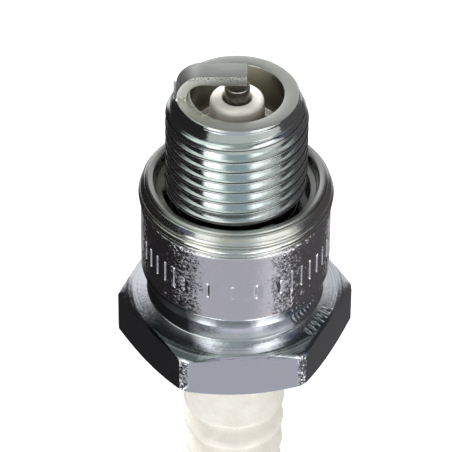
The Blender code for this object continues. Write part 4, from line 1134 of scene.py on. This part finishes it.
def studio_dome():
    """A sphere that only the metal's reflections see."""
    mesh = bpy.data.meshes.new("studio_dome")
    made = bmesh.new()
    bmesh.ops.create_uvsphere(made, u_segments=240, v_segments=120, radius=DOME_R)
    made.to_mesh(mesh)
    made.free()
    glow = mesh.color_attributes.new("glow", "FLOAT_COLOR", "POINT")
    for vertex in mesh.vertices:
        glow.data[vertex.index].color = dome_light(vertex.co.normalized())
    look = bpy.data.materials.new("studio_glow")
    look.use_nodes = True
    nodes = look.node_tree.nodes
    nodes.remove(nodes["Principled BSDF"])
    emission = nodes.new("ShaderNodeEmission")
    stored = nodes.new("ShaderNodeAttribute")
    stored.attribute_name = "glow"
    look.node_tree.links.new(stored.outputs["Color"], emission.inputs["Color"])
    look.node_tree.links.new(emission.outputs[0], nodes["Material Output"].inputs["Surface"])
    look.cycles.emission_sampling = "NONE"
    mesh.materials.append(look)
    dome = bpy.data.objects.new("studio_dome", mesh)
    dome.rotation_euler = (0, 0, VIEW_TURN)
    bpy.context.scene.collection.objects.link(dome)
    dome.visible_camera = False
    dome.visible_diffuse = False
    dome.visible_shadow = False
    dome.visible_transmission = False


def soft_light(name, place, side, power):
    light = bpy.data.lights.new(name, "AREA")
    light.shape = "SQUARE"
    light.size = side
    light.energy = power
    lamp = bpy.data.objects.new(name, light)
    lamp.location = place
    lamp.rotation_mode = "QUATERNION"
    lamp.rotation_quaternion = (-Vector(place)).to_track_quat("-Z", "Y")
    lamp.visible_glossy = False
    bpy.context.scene.collection.objects.link(lamp)


def world_light():
    world = bpy.data.worlds.new("studio")
    world.use_nodes = True
    background = world.node_tree.nodes["Background"]
    background.inputs["Color"].default_value = colour(1.0, 1.0, 1.0)
    background.inputs["Strength"].default_value = 0.8
    bpy.context.scene.world = world


def camera():
    """Stands 40 degrees above the firing end, a little to the left, with a long lens."""
    elevation = math.radians(39.96)
    distance = 369.4 * MM
    turn = VIEW_TURN
    back = Vector((math.sin(turn) * math.cos(elevation), -math.cos(turn) * math.cos(elevation),
                   math.sin(elevation)))
    right = Vector((math.cos(turn), math.sin(turn), 0))
    up = back.cross(right)
    roll = math.radians(0.531)
    right_rolled = right * math.cos(roll) + up * math.sin(roll)
    up_rolled = up * math.cos(roll) - right * math.sin(roll)
    aim = right * (-0.96 * MM) + Vector((0, 0, -6.27 * MM))
    place = aim + back * distance
    data = bpy.data.cameras.new("camera")
    data.lens = 297.7
    data.sensor_width = 36.0
    data.clip_start = 0.01
    data.clip_end = 50.0
    eye = bpy.data.objects.new("camera", data)
    columns = [right_rolled, up_rolled, back, place]
    eye.matrix_world = Matrix([[column[row] for column in columns] for row in range(3)] + [[0, 0, 0, 1]])
    bpy.context.scene.collection.objects.link(eye)
    bpy.context.scene.camera = eye


build_object()
floor()
studio_dome()
world_light()
soft_light("top_light", (-0.25, 0.35, 0.6), 0.5, 7.0)
camera()
bpy.context.scene.view_settings.view_transform = "Standard"
